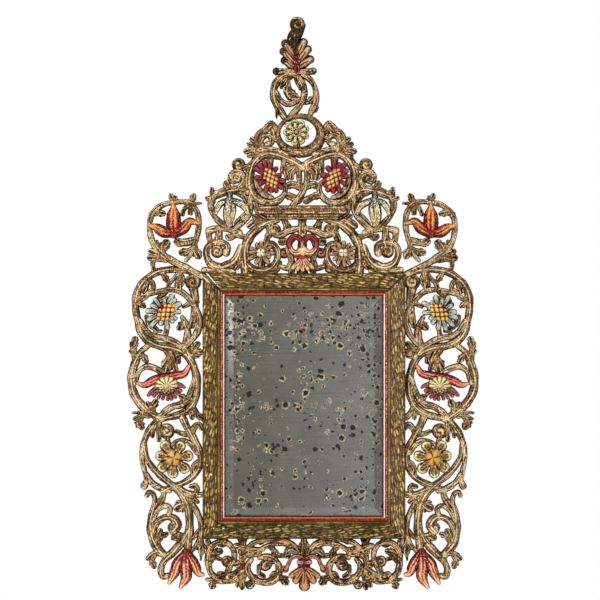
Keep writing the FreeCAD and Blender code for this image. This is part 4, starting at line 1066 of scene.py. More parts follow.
# %% Crest with the ring round its rosette
CREST_AXIS, RING_AXIS = 302.3, 300.2
CREST_SPREAD, CREST_STEP = 1.6, 2.05
RING_OUT, RING_OUT_HALF = (300.5, 135.3), (25.4, 22.4)
RING_EYE, RING_EYE_HALF = (298.3, 132.6), (17.7, 13.9)
RING_STATIONS = 120
LEFT_BUD, RIGHT_BUD, BUD_HALF = (284.0, 253.0), (320.8, 253.0), (5.6, 5.6)
BUD_RISE = 0.003


def ring_of_crest():
    """A looped strand between two ellipses: middle is their mean, half width half their distance."""
    a = np.linspace(0, 2 * np.pi, RING_STATIONS, endpoint=False)[:, None]
    way = np.concatenate([np.cos(a), np.sin(a)], 1)
    outer = np.array(RING_OUT) + way * RING_OUT_HALF
    inner = np.array(RING_EYE) + way * RING_EYE_HALF
    middle, half = (outer + inner) / 2, (outer - inner) / 2
    back, edge = BOARD_BED
    height, ridge = hoop(ACROSS[None, :], a, half, 0.0)
    y = backed(edge + (TOP - edge) * height, back)
    ridge = backed(ridge, SIDE_RIDGE)
    place = middle[:, None, :] + half[:, None, :] * ROUND[:, :, None]
    return shell(in_room(place, y), ridge, a / (2 * np.pi), 0.5, skins_round(1), looped=True, side=ROUND)


crest_strokes = both(CREST, CREST_AXIS) + both(CREST_SHOULDERS, RING_AXIS) + squares(CREST_MIDDLE)
crest_shells = carve(crest_strokes, both(CREST_KNOBS, CREST_AXIS), spread=CREST_SPREAD, step=CREST_STEP)
crest_shells.append(ring_of_crest())
red_bud = paint("red bud", (120, 40, 40), (160, 84, 66), (232, 176, 146), 0.6)
for centre in (LEFT_BUD, RIGHT_BUD):
    crest_shells.append(knob(centre, BUD_HALF, 0, spiral, BOARD_BED, TOP - BUD_RISE, skin=2))
board("crest", crest_shells, carved_gilt, red_bud)

# %% Bar across the crest
BAR = """
261.5,210 342.8,210 ; 9.6 9.6
270,217 334.6,217 ; 5.6 5.6
"""
BAR_BED, BAR_TOPS = (-0.027, -0.0285), (-0.0368, -0.0338)
bar = [strand(*stroke, flutes, BAR_BED, top) for stroke, top in zip(squares(BAR), BAR_TOPS)]
board("crest_bar", bar, carved_gilt)

# %% Finial
FINIAL_TOP, FINIAL_TOP_HALF = (297.3, 23.8), (7.8, 7.8)
LEAF_TIP, LEAF_TIP_HALF = np.array([0.0, 0.7]), (4.6, 4.4)
TRUNK_RISE, HEART_RISE, CURL_RISE = 0.004, 0.0066, 0.0085
LEAF_RISES = (0.004, 0.006)
PETAL_STEP = 0.8
HEART_SKIN, LEAF_SKIN, TRUNK_SKIN = 2, 3, 4


def finial_boss(centre, half, rise, pattern=curl):
    """A round boss of the finial, gilded like its trunk."""
    return knob(centre, half, 0, pattern, BOARD_BED, TOP - rise, skin=TRUNK_SKIN)


finial = carve(squares(FINIAL), [])
for points, widths in squares(FINIAL_KNOBS):
    finial.append(finial_boss(points[0], (widths[0] / 2, widths[0] / 2), KNOB_RISE))
for table, rise, skin in ((FINIAL_TRUNK, TRUNK_RISE, TRUNK_SKIN), (FINIAL_HEART, HEART_RISE, HEART_SKIN)):
    for points, widths in squares(table):
        finial.append(strand(points, widths, scales, BOARD_BED, TOP - rise, skin=skin))
for points, widths in squares(FINIAL_LEAVES):
    top = TOP - luck.uniform(*LEAF_RISES)
    finial.append(strand(points, widths, petal, BOARD_BED, top, skin=LEAF_SKIN, step=PETAL_STEP))
    rise = CURL_RISE if points[-1][0] < points[0][0] else 0.0
    finial.append(finial_boss(points[-1] - LEAF_TIP, LEAF_TIP_HALF, rise))
finial.append(finial_boss(FINIAL_TOP, FINIAL_TOP_HALF, TRUNK_RISE, spiral))
trunk_red = paint("finial heart", (158, 58, 54), (132, 34, 42), (242, 194, 166), 0.8)
leaf_tan = paint("finial leaves", (128, 22, 36), (152, 112, 70), (226, 196, 150), 0.55)
board("finial", finial, dark_gilt, trunk_red, leaf_tan, trunk_gilt)

# %% [markdown]
# ## The frame and its slips
# The four rails are one moulding, mitred at the corners. Its broad band is worked all over with small
# gouge cuts that run along the rail. A displacement texture would give the look from the front only, so
# the cuts are part of the surface. The two upper mitres have opened, with the white ground showing along
# the breaks.

# %% Places on the four edges
MM = 1000.0
UPRIGHT = ("left", "right")
OUTWARD = dict(top=1, bottom=-1, left=-1, right=1)


def edge_of(side, halves):
    """How far an edge lies from the middle, and half its length, from the half width and half height."""
    return halves if side in UPRIGHT else halves[::-1]


def on_edge(side, halves, a, w, depth):
    """Millimetres along an edge, in from it and in front of the wall, turned to metres in the room."""
    off = OUTWARD[side] * (edge_of(side, halves)[0] - w)
    x, z = (off, a) if side in UPRIGHT else (a, off)
    return np.stack(np.broadcast_arrays(x, -depth, z), -1) / MM


print("edges:", ", ".join(OUTWARD))

# %% Gouge cuts
CUT_ROW = 4.2


def chance_of(number):
    """A fixed random number for any number: the fraction of a large multiple of its sine."""
    value = np.sin(number * 12.9898) * 43758.5453
    return value - np.floor(value)


def gouge_cuts(a, w):
    """Rows of long wavy beads: across a row (1 - v squared), along it the sine of the share of one bead."""
    wander = 2.1 * np.sin(a / 18) + 1.3 * np.sin(a / 7.3 + w / 3)
    row_at = (w + wander) / CUT_ROW
    row = np.floor(row_at)
    v = 2 * (row_at - row) - 1
    bead_at = a / (10 + 16 * chance_of(row)) + 9 * chance_of(row + 0.37)
    cell = np.floor(bead_at)
    lively = chance_of(row * 7.31 + cell * 1.77)
    swell = (1 - v * v) ** 1.3 * np.sin(np.pi * (bead_at - cell)).clip(0.001) ** 0.4
    return swell * (0.46 + 0.54 * lively)


print("a row of cuts is", CUT_ROW, "mm wide")

# %% Blots of damage
def blots(place, text):
    """Round blots added up: each a bell curve about a point of the cartoon with two reaches in squares."""
    total = np.zeros(place.shape[:-1])
    for points, reach in squares(text):
        off = (place - in_room(points[0], 0.0))[..., [0, 2]] / (SQUARE * reach)
        total += np.exp(-(off ** 2).sum(-1))
    return total


print("at its own point a blot is", blots(in_room(np.array([1.0, 1.0]), 0.0), "1,1 ; 2 2"))

# %% A rail of the frame
FRAME_HALVES = (213, 279)
RAIL_W, RAIL_POINTS, RAIL_STEP = 37, 62, 1.25
RAIL_ACROSS = [0, 3, 8, 30, 31.5, 32.5, 35.5, RAIL_W]
RAIL_DEPTH = [30, 33, 34, 33.6, 31.6, 32.6, 32.6, 30]
RAIL_REST = [(RAIL_W, 10), (29, 10), (29, 0), (0, 0)]
BAND_EDGES, FILLET_EDGES = (1, 3, 29.5, 31), (32.0, 33.4, 35.0, 36.6)
CUTS_FROM, CUT_DEPTH = 1000, 1.6
CHIPPED = 3.2
CHIPS = """
211.5,474.5 ; 1.4 1.8
206.3,475.6 ; 1.3 1.4
207,465.3 ; 1.2 1
213.6,528 ; 2 1.1
223.4,528 ; 1.5 1
209,292 ; 1 2.4
206.5,368 ; 2.6 0.8
214,372 ; 1.2 0.8
397,284 ; 1 1
390,470 ; 1 1.8
"""


def rail(side, opened):
    """A moulding between mitres: the station t from -1 to 1 lies at t x (half length - width), less a gap."""
    half = edge_of(side, FRAME_HALVES)[1]
    w = np.linspace(0, RAIL_W, RAIL_POINTS)
    n = len(w)
    rest_w, rest_depth = np.array(RAIL_REST).T
    t = np.linspace(-1, 1, int(half * 2 / RAIL_STEP))[:, None]
    ring_w = np.concatenate([w, rest_w])[None, :]
    gap = np.where(t < 0, *opened) * (1 - 0.8 * ring_w / RAIL_W) * (np.arange(ring_w.size) < n)
    a = t * (half - ring_w - gap)
    band = plateau(BAND_EDGES, w)
    cuts = gouge_cuts(a[:, :n] + CUTS_FROM, w[None, :])
    depth = np.zeros_like(a) + np.concatenate([np.interp(w, RAIL_ACROSS, RAIL_DEPTH), rest_depth])
    depth[:, :n] += band * CUT_DEPTH * (cuts - 0.5)
    fillet = 0.22 + 0.36 * plateau(FILLET_EDGES, w) + 0.12 * np.sin(a[:, :n] / 31)
    ridge = np.full_like(depth, SIDE_RIDGE)
    ridge[:, :n] = band * cuts * 1.2 + (1 - band) * fillet
    left_over = half - ring_w - gap - np.abs(a)
    broken = 1.1 * bell(left_over - CHIPPED, 2.8) * ease(0.8, 3.0, gap)
    # Painted shade: the ridge falls towards each mitre, and further where the mitre has opened.
    ridge = ridge * ease(0.3 * gap, 1.2 + 0.9 * gap, left_over)
    rings = on_edge(side, FRAME_HALVES, a, ring_w, depth)
    kinds = np.ones((1, ring_w.size), int)
    kinds[:, n:-1] = BACK_SKIN
    return shell(rings, ridge, (t + 1) / 2, 0.5, kinds, bare=broken + blots(rings, CHIPS))


print(len(squares(CHIPS)), "chips in the gilding")

# %% The four rails
frame_gilt_settings = dict(dirt_and_gleam=0.38, metal=0.3)
frame_gilt = gilding("frame gilding", (28, 19, 7), (116, 88, 45), (226, 194, 120), **frame_gilt_settings)
low_gilt = gilding("lower frame gilding", (20, 14, 5), (94, 73, 37), (200, 172, 104), **frame_gilt_settings)
pale_gilt = gilding("right stile gilding", (46, 33, 17), (132, 103, 62), (230, 200, 138), **frame_gilt_settings)
stile_wood = wood("stile wood", (122, 90, 58), (76, 52, 32), 0.0008)
rail_wood = wood("rail wood", (122, 90, 58), (76, 52, 32), 0.0008, Across=4.0, Along=60.0)
rails = {
    "frame_top_rail": ("top", (4.8, 1.6), rail_wood, frame_gilt),
    "frame_bottom_rail": ("bottom", (0.0, 0.0), rail_wood, low_gilt),
    "frame_left_stile": ("left", (0.0, 3.4), stile_wood, frame_gilt),
    "frame_right_stile": ("right", (0.0, 1.9), stile_wood, pale_gilt),
}
for name, (side, opened, *skins) in rails.items():
    piece(name + "_moulding", [rail(side, opened)], skins, name)

# %% Red slips round the glass
SLIP_HALVES = (176, 242)
SLIP_W, SLIP_POINTS, SLIP_STATIONS = 11, 23, 160
SLIP_EDGE, SLIP_RISE, SLIP_CROWN, SLIP_REACH, SLIP_BED = 23, 8, 4, 7.2, 17
slip_red = paint("slip red", (140, 36, 16), (154, 46, 20), (214, 122, 80), 0.7)
slip_side_highlit = paint("slip red with painted highlight at the sides", (162, 78, 58), (168, 88, 66), (242, 214, 200), 0.95)


def slip(side, inner):
    """A quarter-round bead between mitres: its edge + its rise x the square root of (1 - v squared).

    A painted highlight runs along two lines, each a bell curve across the bead with its own strength.
    """
    half = edge_of(side, SLIP_HALVES)[1]
    w = np.linspace(0, SLIP_W, SLIP_POINTS)
    d = SLIP_EDGE + SLIP_RISE * np.sqrt(1 - ((w - SLIP_CROWN) / SLIP_REACH) ** 2)
    ring_w = np.concatenate([w, [SLIP_W, 0]])[None, :]
    t = np.linspace(-1, 1, SLIP_STATIONS)[:, None]
    a = t * (half - ring_w)
    ripple = 0.18 * np.sin(a / 23) * np.sin(a / 9)
    depth = np.concatenate([d, [SLIP_BED, SLIP_BED]])[None, :] + ripple * (ring_w > 0) * (ring_w < SLIP_W)
    highlight_lines = 0.6 * bell(w - 2.6, 2.1) + inner * bell(w - 7.4, 1.7)
    crown = np.concatenate([highlight_lines, [0, 0]])[None, :]
    return shell(on_edge(side, SLIP_HALVES, a, ring_w, depth), crown, (t + 1) / 2)


for side in OUTWARD:
    # The side slips get a stronger inner painted highlight, in their own highlit red.
    inner, skin = (1.1, slip_side_highlit) if side in UPRIGHT else (1.0, slip_red)
    piece("sight_slip_" + side + "_bead", [slip(side, inner)], [skin], "sight_slip_" + side)

# %% [markdown]
# ## Painted flowers
# Lilies, rosettes and a shell are laid on the vines and painted. Petals are strands with a petal's
# profile, roots at the middle of the flower; the hearts are bosses with carved patterns. Bent planes would
# be lighter, but they have no thickness from the side.

# %% Petals of the wings
TOP_LILY = """
173.6,232.5 173.6,224.5 173.6,214.5 173.5,204.5 ; 11 15 13 2
171,233 163.5,231.8 156.5,227.6 151,226 ; 9 11 9.5 3.5
176.5,232.8 183.5,228.3 190,221.7 198.3,223.7 ; 9 11 8 2.5
"""
BLUE_BASE = """
160,316 173,308 ; 11 11
"""
RED_FLOWER = """
163,377 152,381.3 144.5,385 138,383.5 ; 8 9 7 2.5
168,376.5 177,375.3 184.5,373.3 188.5,367 ; 8 8.5 7 4
"""
RED_FRINGE = """
173,385 181,385.5 184.5,387.5 ; 7 5.5 2
159,388 151.5,392.5 148.5,395 ; 7 6 3
173,389 180.5,390.7 ; 4 3.4
159,391 154,395.7 ; 4 3.2
162,392 158.4,397.6 ; 4 3
165,393 162.8,398.6 ; 4 3.2
168,394 167.6,399.4 ; 4 3
170,394 171.6,398.8 ; 4 3.2
171,393 175.4,397 ; 4 3
173,391 178.9,394 ; 4 3.2
"""
CREAM_ROSETTE = """
174,458 165.5,446 ; 9 8.6
174,458 180,446.5 ; 9 9.6
174,458 187.7,456 ; 9 8.6
174,458 184.3,468 ; 9 8.6
174,458 173,472.5 ; 9 8.4
174,458 163,467 ; 9 9.2
174,458 161,456 ; 9 8.6
"""
PENDANT_LILY = """
183.5,555 177.5,563 174.3,573 169,583.3 ; 7 10 9.5 2.5
189.5,555 195,565 198.5,573 202.5,574.5 ; 7 9.5 9 3.5
186,553 185.5,566 186,577 180.5,587.3 ; 9 12 11 3
"""
print(len(squares(RED_FRINGE)), "petals in the fringe of a red flower")

# %% Petals of the crest and the apron
CREST_RED_BASE = """
268,174 274,185 ; 8 8
"""
CREST_LILY = """
230,194 229.3,200 227.8,208 227.2,217 229,226 ; 5 7 8.2 7.6 4
231,201 233.5,208 232.5,216 230.5,225 ; 5 5 4.5 3
227,200.5 221,203.5 217.5,208.5 216,213 ; 5 6 5.5 3
232,200 239,203 244.5,206.5 247.5,212.5 ; 5 6.5 7 4
"""
SHELL_LOBES = """
302.8,243 299.5,238.5 293.5,236.5 289.5,241 289.4,246 ; 6.5 5.5 5 5 4.5
292,252.5 296.5,256.5 302.8,257.2 ; 2 3.2 4
"""
SHELL_CHEEKS = """
289.6,245 291.5,250.5 296.5,253 302.8,250 ; 4 5 6 8
"""
SHELL_FAN = """
302.8,257 293.6,267 ; 6 5
302.8,257 298.2,268.3 ; 6 5
"""
SHELL_MIDDLE = """
302.8,257 302.8,268.9 ; 6 5
302.8,239 302.8,252 ; 4 8
"""
APRON_ARMS = """
304.8,560 300.5,557 295,556.3 290.7,559 288.5,564 286,568.5 ; 4 4 3.8 3.4 3.4 3.8
304.6,563 299.5,562 ; 7 5
"""
APRON_FAN = """
304.5,568 298,570.8 291.5,575.5 ; 4 5.5 5.6
304.5,568 299.5,574.5 295.8,580.5 ; 4 6 6.6
"""
APRON_FAN_MIDDLE = """
304.5,567 304.5,575 304.5,585.5 ; 5 7.5 11
"""
APRON_LEAVES = """
296,553 291,550.6 287.6,553.2 ; 4 5 4.4
"""
print(len(squares(CREST_LILY)), "petals in a cream lily")

# %% Petals in wheels
PETAL_BED, PETAL_TOP, PETAL_PLAY = (-0.0255, -0.0285), -0.0362, 0.001
SHORT_SHARES, WHEEL_SHARES = np.array([[0.5, 0.8, 1.0], [0.6, 0.9, 1.0]])


def flower(strokes, turn=as_drawn, skin=1, rise=0.0, profile=petal):
    """Petals of one colour, each a strand; a petal of two points is narrow at its root."""
    shells = []
    for points, widths in strokes:
        if len(points) == 2:
            points = np.stack([points[0], points.mean(0), points[1]])
            widths = widths[-1] * SHORT_SHARES
        top = PETAL_TOP - luck.uniform(0, PETAL_PLAY) - rise
        shells.append(strand(points, widths + SPREAD, profile, PETAL_BED, top, turn, skin, PETAL_STEP))
    return shells


def wheel(centre, inner, outer, size, count, start=0.0, squash=1.0, tilt=0.0, ragged=0.0):
    """Petals round a centre, from an inner to an outer radius, on a circle squashed and then tilted.

    The angle of a petal is start + 360 x its number / count; chance changes its reach and width by a share
    ragged, and its angle by as large a share of the step between petals.
    """
    play = ragged * luck.uniform(-1, 1, (3, count, 1))
    a = np.radians(start + 360.0 * (np.arange(count) + play[0, :, 0]) / count)
    c, s = np.cos(np.radians(tilt)), np.sin(np.radians(tilt))
    u, v = np.cos(a), squash * np.sin(a)
    way = np.stack([u * c - v * s, -(u * s + v * c)], -1)
    far = outer * (1 + play[1])
    ends = np.stack([centre + way * inner, centre + way * (inner + far) / 2, centre + way * far], 1)
    return list(zip(ends, size * (1 + play[2]) * WHEEL_SHARES))


print("a petal rises to", PETAL_TOP)

# %% Hearts and cups
BOSS_TOP, CUP_RISE = -0.0425, 0.002


def heart(centre, half, tilt, pattern, turn=as_drawn, skin=2, top=BOSS_TOP, blush=90.0):
    """The boss in the middle of a flower."""
    return knob(centre, half, tilt, pattern, PETAL_BED, top, turn, skin, blush, fine=2)


def cups(strokes, half, turn=as_drawn):
    """A round cup at the end of each stroke, turned to look along it."""
    shells = []
    for points, _ in strokes:
        way = points[-1] - points[0]
        tilt = np.degrees(np.arctan2(-way[1], way[0]))
        shells.append(heart(points[-1], half, tilt, cup, turn, 1, PETAL_TOP - CUP_RISE))
    return shells


def lay(stem, kind, shells, slot, *paints):
    """A flower in place of its CAD node, with bare wood behind; the node's name is the stem and the kind."""
    piece(stem + "_petals", shells, [back_wood, *paints], stem + kind)


print("a heart rises to", BOSS_TOP)

# %% Flowers of the wings
BLUE_MIDDLE, BLUE_HEART, BLUE_HALF, BLUE_TILT = (165.0, 312.0), (166.2, 312.2), (13.8, 8.4), 40
BLUE_WHEEL = dict(inner=7.0, outer=15.2, size=5.0, count=14, start=8.0, squash=0.88, ragged=0.22)
RED_HEART, RED_HALF, RED_BLUSH = (166.7, 385.8), (12.2, 10.2), 270.0
CREAM_HEART, CREAM_HALF, CREAM_BLUSH, CUP_HALF = (174.0, 458.0), (9.3, 9.3), 345.0, (5.8, 5.8)
lily_red = paint("lily red", (150, 32, 32), (188, 94, 46), (236, 182, 104), 0.64)
blue = paint("blue grey", (48, 56, 54), (108, 124, 110), (214, 212, 188), 0.6)
net_gold = paint("net gold", (164, 46, 36), (212, 148, 66), (244, 212, 134), 0.72)
rose_red = paint("rose red", (156, 36, 42), (206, 86, 62), (238, 174, 142), 0.65)
fringe = paint("dark fringe", (76, 12, 26), (116, 26, 38), (216, 140, 128), 0.35)
pale_gold = paint("pale gold", (154, 112, 64), (196, 172, 112), (242, 232, 180), 0.75)
cream = paint("cream petals", (98, 72, 38), (156, 128, 78), (238, 220, 154), 0.88)
quarter_paint = paint("quartered bud", (166, 42, 34), (168, 118, 46), (238, 204, 114), 0.45)
salmon = paint("salmon lily", (150, 34, 46), (202, 108, 70), (244, 200, 150), 0.75)
for side, turn in (("left", as_drawn), ("right", right_wing)):
    lay(side + "_top_lily", "", flower(squares(TOP_LILY), turn), "red_paint", lily_red)
    petals = flower(squares(BLUE_BASE), turn)
    petals += flower(wheel(BLUE_MIDDLE, tilt=BLUE_TILT, **BLUE_WHEEL), turn)
    petals.append(heart(BLUE_HEART, BLUE_HALF, BLUE_TILT, net, turn))
    lay(side + "_blue", "_flower", petals, "blue_paint", blue, net_gold)
    petals = flower(squares(RED_FRINGE), turn, 3) + flower(squares(RED_FLOWER), turn)
    petals.append(heart(RED_HEART, RED_HALF, 0, gadroon, turn, blush=RED_BLUSH))
    lay(side + "_red", "_flower", petals, "red_paint", rose_red, pale_gold, fringe)
    petals = flower(squares(CREAM_ROSETTE), turn, profile=cupped)
    petals += cups(squares(CREAM_ROSETTE), CUP_HALF, turn)
    petals.append(heart(CREAM_HEART, CREAM_HALF, 0, quarters, turn, blush=CREAM_BLUSH))
    lay(side + "_cream", "_rosette", petals, "cream_paint", cream, quarter_paint)
    lay(side + "_pendant", "_lily", flower(squares(PENDANT_LILY), turn), "red_paint", salmon)

# %% Flowers of the crest
CREST_RED_MIDDLE, CREST_RED_HEART = (269.8, 177.4), (270.6, 178.6)
CREST_RED_HALF, CREST_RED_TILT = (13.2, 7.7), 117
CREST_RED_WHEEL = dict(inner=6.0, outer=15.4, size=5.0, count=13, start=14.0, squash=0.68, ragged=0.16)
SMALL_HEART, SMALL_HALF, SMALL_TILT = (261.0, 252.7), (5.2, 4.8), 20
SMALL_WHEEL = dict(inner=3.0, outer=10.4, size=4.5, count=12, ragged=0.2)
TOP_HEART, TOP_HALF, TOP_CUP_HALF = (296.5, 132.5), (4.7, 4.7), (3.8, 3.7)
TOP_WHEEL = dict(inner=3.0, size=3.6, count=9, start=20)
crest_red = paint("crest crimson", (66, 8, 26), (98, 15, 34), (186, 84, 78), 0.4)
crest_gold = paint("crest heart", (160, 58, 46), (202, 134, 70), (246, 214, 146), 0.65)
lily_cream = paint("cream lily", (84, 92, 88), (204, 184, 124), (250, 242, 196), 0.9, (178, 142, 86))
mixed_petals = paint("rosette petals", (62, 10, 16), (106, 30, 28), (228, 196, 146), 0.46, (104, 62, 38))
heart_cream = paint("cream heart", (196, 150, 110), (206, 188, 146), (246, 238, 216), 0.8)
for side, turn in (("crest_left", as_drawn), ("crest_right", across(CREST_AXIS))):
    petals = flower(squares(CREST_RED_BASE), turn)
    petals += flower(wheel(CREST_RED_MIDDLE, tilt=CREST_RED_TILT, **CREST_RED_WHEEL), turn)
    petals.append(heart(CREST_RED_HEART, CREST_RED_HALF, CREST_RED_TILT, net, turn))
    lay(side + "_red", "_flower", petals, "red_paint", crest_red, crest_gold)
    petals = flower(squares(CREST_LILY), turn, profile=cupped)
    lay(side + "_lily", "", petals, "cream_paint", lily_cream)
    petals = flower(wheel(SMALL_HEART, **SMALL_WHEEL), turn)
    petals.append(heart(SMALL_HEART, SMALL_HALF, SMALL_TILT, quarters, turn))
    lay(side + "_rosette", "", petals, "cream_paint", mixed_petals, heart_cream)
top_cream = paint("top rosette", (92, 80, 38), (140, 128, 66), (238, 230, 168), 0.8)
top_heart = paint("top heart", (120, 36, 30), (166, 98, 62), (246, 218, 160), 0.8)
petals = flower(wheel(TOP_HEART, outer=8.0, **TOP_WHEEL))
petals += cups(wheel(TOP_HEART, outer=9.6, **TOP_WHEEL), TOP_CUP_HALF)
petals.append(heart(TOP_HEART, TOP_HALF, 0, bead))
lay("crest_top", "_rosette", petals, "cream_paint", top_cream, top_heart)

# %% Shell of the crest and flower of the apron
SHELL_AXIS, FLOWER_AXIS = 302.8, 304.5
APRON_BUD, APRON_BUD_HALF = (285.2, 569.0), (3.9, 3.9)
FAN_RISE, CHEEK_RISE, LEAVES_RISE = 0.001, 0.0004, -0.006
shell_red = paint("shell red", (120, 14, 28), (112, 10, 26), (212, 104, 88), 0.3)
shell_fan = paint("shell fan", (124, 14, 30), (148, 64, 48), (242, 212, 158), 0.62)
shell_cheek = paint("shell cheeks", (150, 40, 40), (190, 132, 84), (246, 216, 160), 0.75)
petals = flower(both(SHELL_LOBES, SHELL_AXIS))
petals += flower(both(SHELL_FAN, SHELL_AXIS) + squares(SHELL_MIDDLE), skin=2, rise=FAN_RISE)
petals += flower(both(SHELL_CHEEKS, SHELL_AXIS), skin=3, rise=CHEEK_RISE)
lay("crest_shell", "", petals, "red_paint", shell_red, shell_fan, shell_cheek)
arm_red = paint("apron red", (104, 10, 24), (134, 30, 32), (238, 188, 150), 0.5)
fan_tan = paint("apron fan", (112, 8, 26), (134, 70, 44), (232, 184, 130), 0.52)
leaf_green = paint("leaf green", (78, 84, 58), (122, 120, 88), (204, 196, 156), 0.6)
petals = flower(both(APRON_ARMS, FLOWER_AXIS))
for turn in (as_drawn, across(FLOWER_AXIS)):
    petals.append(heart(APRON_BUD, APRON_BUD_HALF, 0, bead, turn, 1, PETAL_TOP))
petals += flower(both(APRON_FAN, FLOWER_AXIS) + squares(APRON_FAN_MIDDLE), skin=2, rise=FAN_RISE)
petals += flower(both(APRON_LEAVES, FLOWER_AXIS), skin=3, rise=LEAVES_RISE, profile=leaf)
lay("apron_flower", "", petals, "red_paint", arm_red, fan_tan, leaf_green)

# %% [markdown]
# ## The glass
# The plate is old mercury glass: a clear sheet with a bevel, and behind it a silver coat that damp has
# eaten. The sheet keeps its CAD shape and gets a clear shader. The damage is on the silver, where it is on
# the real one, so it shifts a little behind the glass as the viewer moves.

# %% Spots of damp
SPOTS = [(42.0, 0.3, 0.7), (84.0, 0.37, 0.75), (130.0, 0.24, 0.3)]


def axes_of(tree, place):
    """The x, y and z of a place."""
    return put(tree, "ShaderNodeSeparateXYZ", {0: place}).outputs


foxing_out = dict(Colour="Color", Roughness="Float", Metal="Float")
foxing, come = effect("foxing", dict(Damp=0.5, Pale=1.0), foxing_out)
t = foxing
spot = object_place(t)
axes = axes_of(t, spot)
flat = put(t, "ShaderNodeCombineXYZ", {0: axes[0], 1: axes[2]}).outputs[0]
sway = put(t, "ShaderNodeTexNoise", {"Vector": spot, "Scale": 190.0}).outputs["Color"]
sway = vector(t, "SCALE", vector(t, "SUBTRACT", sway, (0.5, 0.5, 0.5)), 0.009)
ragged = vector(t, "ADD", flat, sway)
worn_rim = window(t, cloud(t, spot, 260.0, 2.0), 0.36, 0.56)


def spots(scale, size, share):
    """Spots in a share of the cells of a flat Voronoi pattern: near a cell's point, in cells of chance.

    Some of the pale ones have lost their dark core and are only a ring.
    """
    cells = put(t, "ShaderNodeTexVoronoi", {"Vector": ragged, "Scale": scale}, voronoi_dimensions="2D")
    chosen = put(t, "ShaderNodeSeparateColor", {0: cells.outputs["Color"]}).outputs
    near = plus(t, cells.outputs["Distance"], times(t, chosen[1], size * 0.6))
    keep = calc(t, "LESS_THAN", chosen[0], times(t, come["Damp"], share))
    hollow = times(t, calc(t, "GREATER_THAN", chosen[2], 0.84), come["Pale"])
    inside = times(t, window(t, near, size, size * 0.84), keep)
    core = times(t, inside, calc(t, "SUBTRACT", 1.0, hollow))
    rim = times(t, window(t, near, size * 1.42, size * 1.24), keep)
    rim = calc(t, "SUBTRACT", rim, times(t, times(t, inside, hollow), 0.75))
    rim = times(t, rim, calc(t, "GREATER_THAN", chosen[2], 0.35))
    return core, times(t, times(t, rim, come["Pale"]), worn_rim)


core, rim = spots(*SPOTS[0])
for kind in SPOTS[1:]:
    more_core, more_rim = spots(*kind)
    core, rim = calc(t, "MAXIMUM", core, more_core), calc(t, "MAXIMUM", rim, more_rim)
print(len(SPOTS), "sizes of spots")

# %% Foxed silver
veil = cloud(t, spot, 14.0, 5.0)
streak = cloud(t, vector(t, "MULTIPLY", spot, (9.0, 1.0, 330.0)), 1.0, 2.0)
colour = washed(t, (0.64, 0.63, 0.6, 1.0), (0.8, 0.79, 0.76, 1.0), veil, 0.3, 0.75)
colour = washed(t, colour, (0.42, 0.41, 0.39, 1.0), streak, 0.5, 0.7, 0.34)
ochre = washed(t, tint(208, 192, 158), tint(184, 132, 88), cloud(t, spot, 34.0), 0.5, 0.6)
colour = mixed(t, core, mixed(t, rim, colour, ochre), tint(12, 10, 8))
hurt = calc(t, "MAXIMUM", rim, core)
rough = plus(t, 0.015, times(t, hurt, 0.5))
give(t, Colour=colour, Roughness=rough, Metal=calc(t, "SUBTRACT", 1.0, hurt))
silver, tree, shader = blank("foxed silver")
worn = put(tree, "ShaderNodeGroup", node_tree=foxing)
for key, socket in (("Colour", "Base Color"), ("Roughness", "Roughness"), ("Metal", "Metallic")):
    tree.links.new(worn.outputs[key], shader.inputs[socket])
for key, attribute in (("Damp", "tone"), ("Pale", "run")):
    number = put(tree, "ShaderNodeAttribute", attribute_name=attribute)
    tree.links.new(number.outputs["Fac"], worn.inputs[key])

# %% The coat as a sheet of its own
DAMP = """
244,328 ; 20 20
232,322 ; 7 24
300,332 ; 42 9
318,380 ; 15 14
290,408 ; 52 6
370,350 ; 14 62
345,325 ; 30 22
360,500 ; 26 15
236,400 ; 8 80
240,505 ; 14 10
282,446 ; 26 8
342,428 ; 12 9
262,480 ; 12 18
350,448 ; 10 9
302,476 ; 16 10
378,440 ; 8 50
"""
LEAST_DAMP, DAMP_SHARE = 0.2, 0.75
HAIR = 0.0001
COAT_COLUMNS, COAT_ROWS = 48, 66
coat_low, coat_high = (np.array(corner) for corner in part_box("silvering"))
x = np.linspace(coat_low[0], coat_high[0], COAT_COLUMNS)
x = np.concatenate([x, x[::-1]])
y = np.repeat([coat_low[1] + HAIR, coat_high[1]], COAT_COLUMNS)
z = np.linspace(coat_low[2], coat_high[2], COAT_ROWS)
coat = np.stack(np.broadcast_arrays(x[None, :], y[None, :], z[:, None]), -1)
damp = LEAST_DAMP + DAMP_SHARE * blots(coat, DAMP)
pale = ease(0.26, 0.02, coat[..., 0])
piece("silver_coat", [shell(coat, 0.5, pale, damp)], [silver], "silvering")

# %% Clear old glass
glass, tree, shader = blank("old glass")
shader.inputs["Base Color"].default_value = (0.96, 0.96, 0.95, 1.0)
shader.inputs["Roughness"].default_value = 0.0
shader.inputs["IOR"].default_value = 1.5
shader.inputs["Transmission Weight"].default_value = 1.0
ripple = {"Height": cloud(tree, object_place(tree), 11.0, 1.0), "Distance": 0.0008, "Strength": 0.25}
tree.links.new(put(tree, "ShaderNodeBump", ripple).outputs["Normal"], shader.inputs["Normal"])
print("glass with an index of", shader.inputs["IOR"].default_value)

# %% [markdown]
# ## Everything that keeps its CAD shape
# Boards, pegs, keys, nails and the iron staple have the right shape already, so they only get finishes.
# The ring is the one piece that moves; it is bent from round wire, so it gets a true torus.

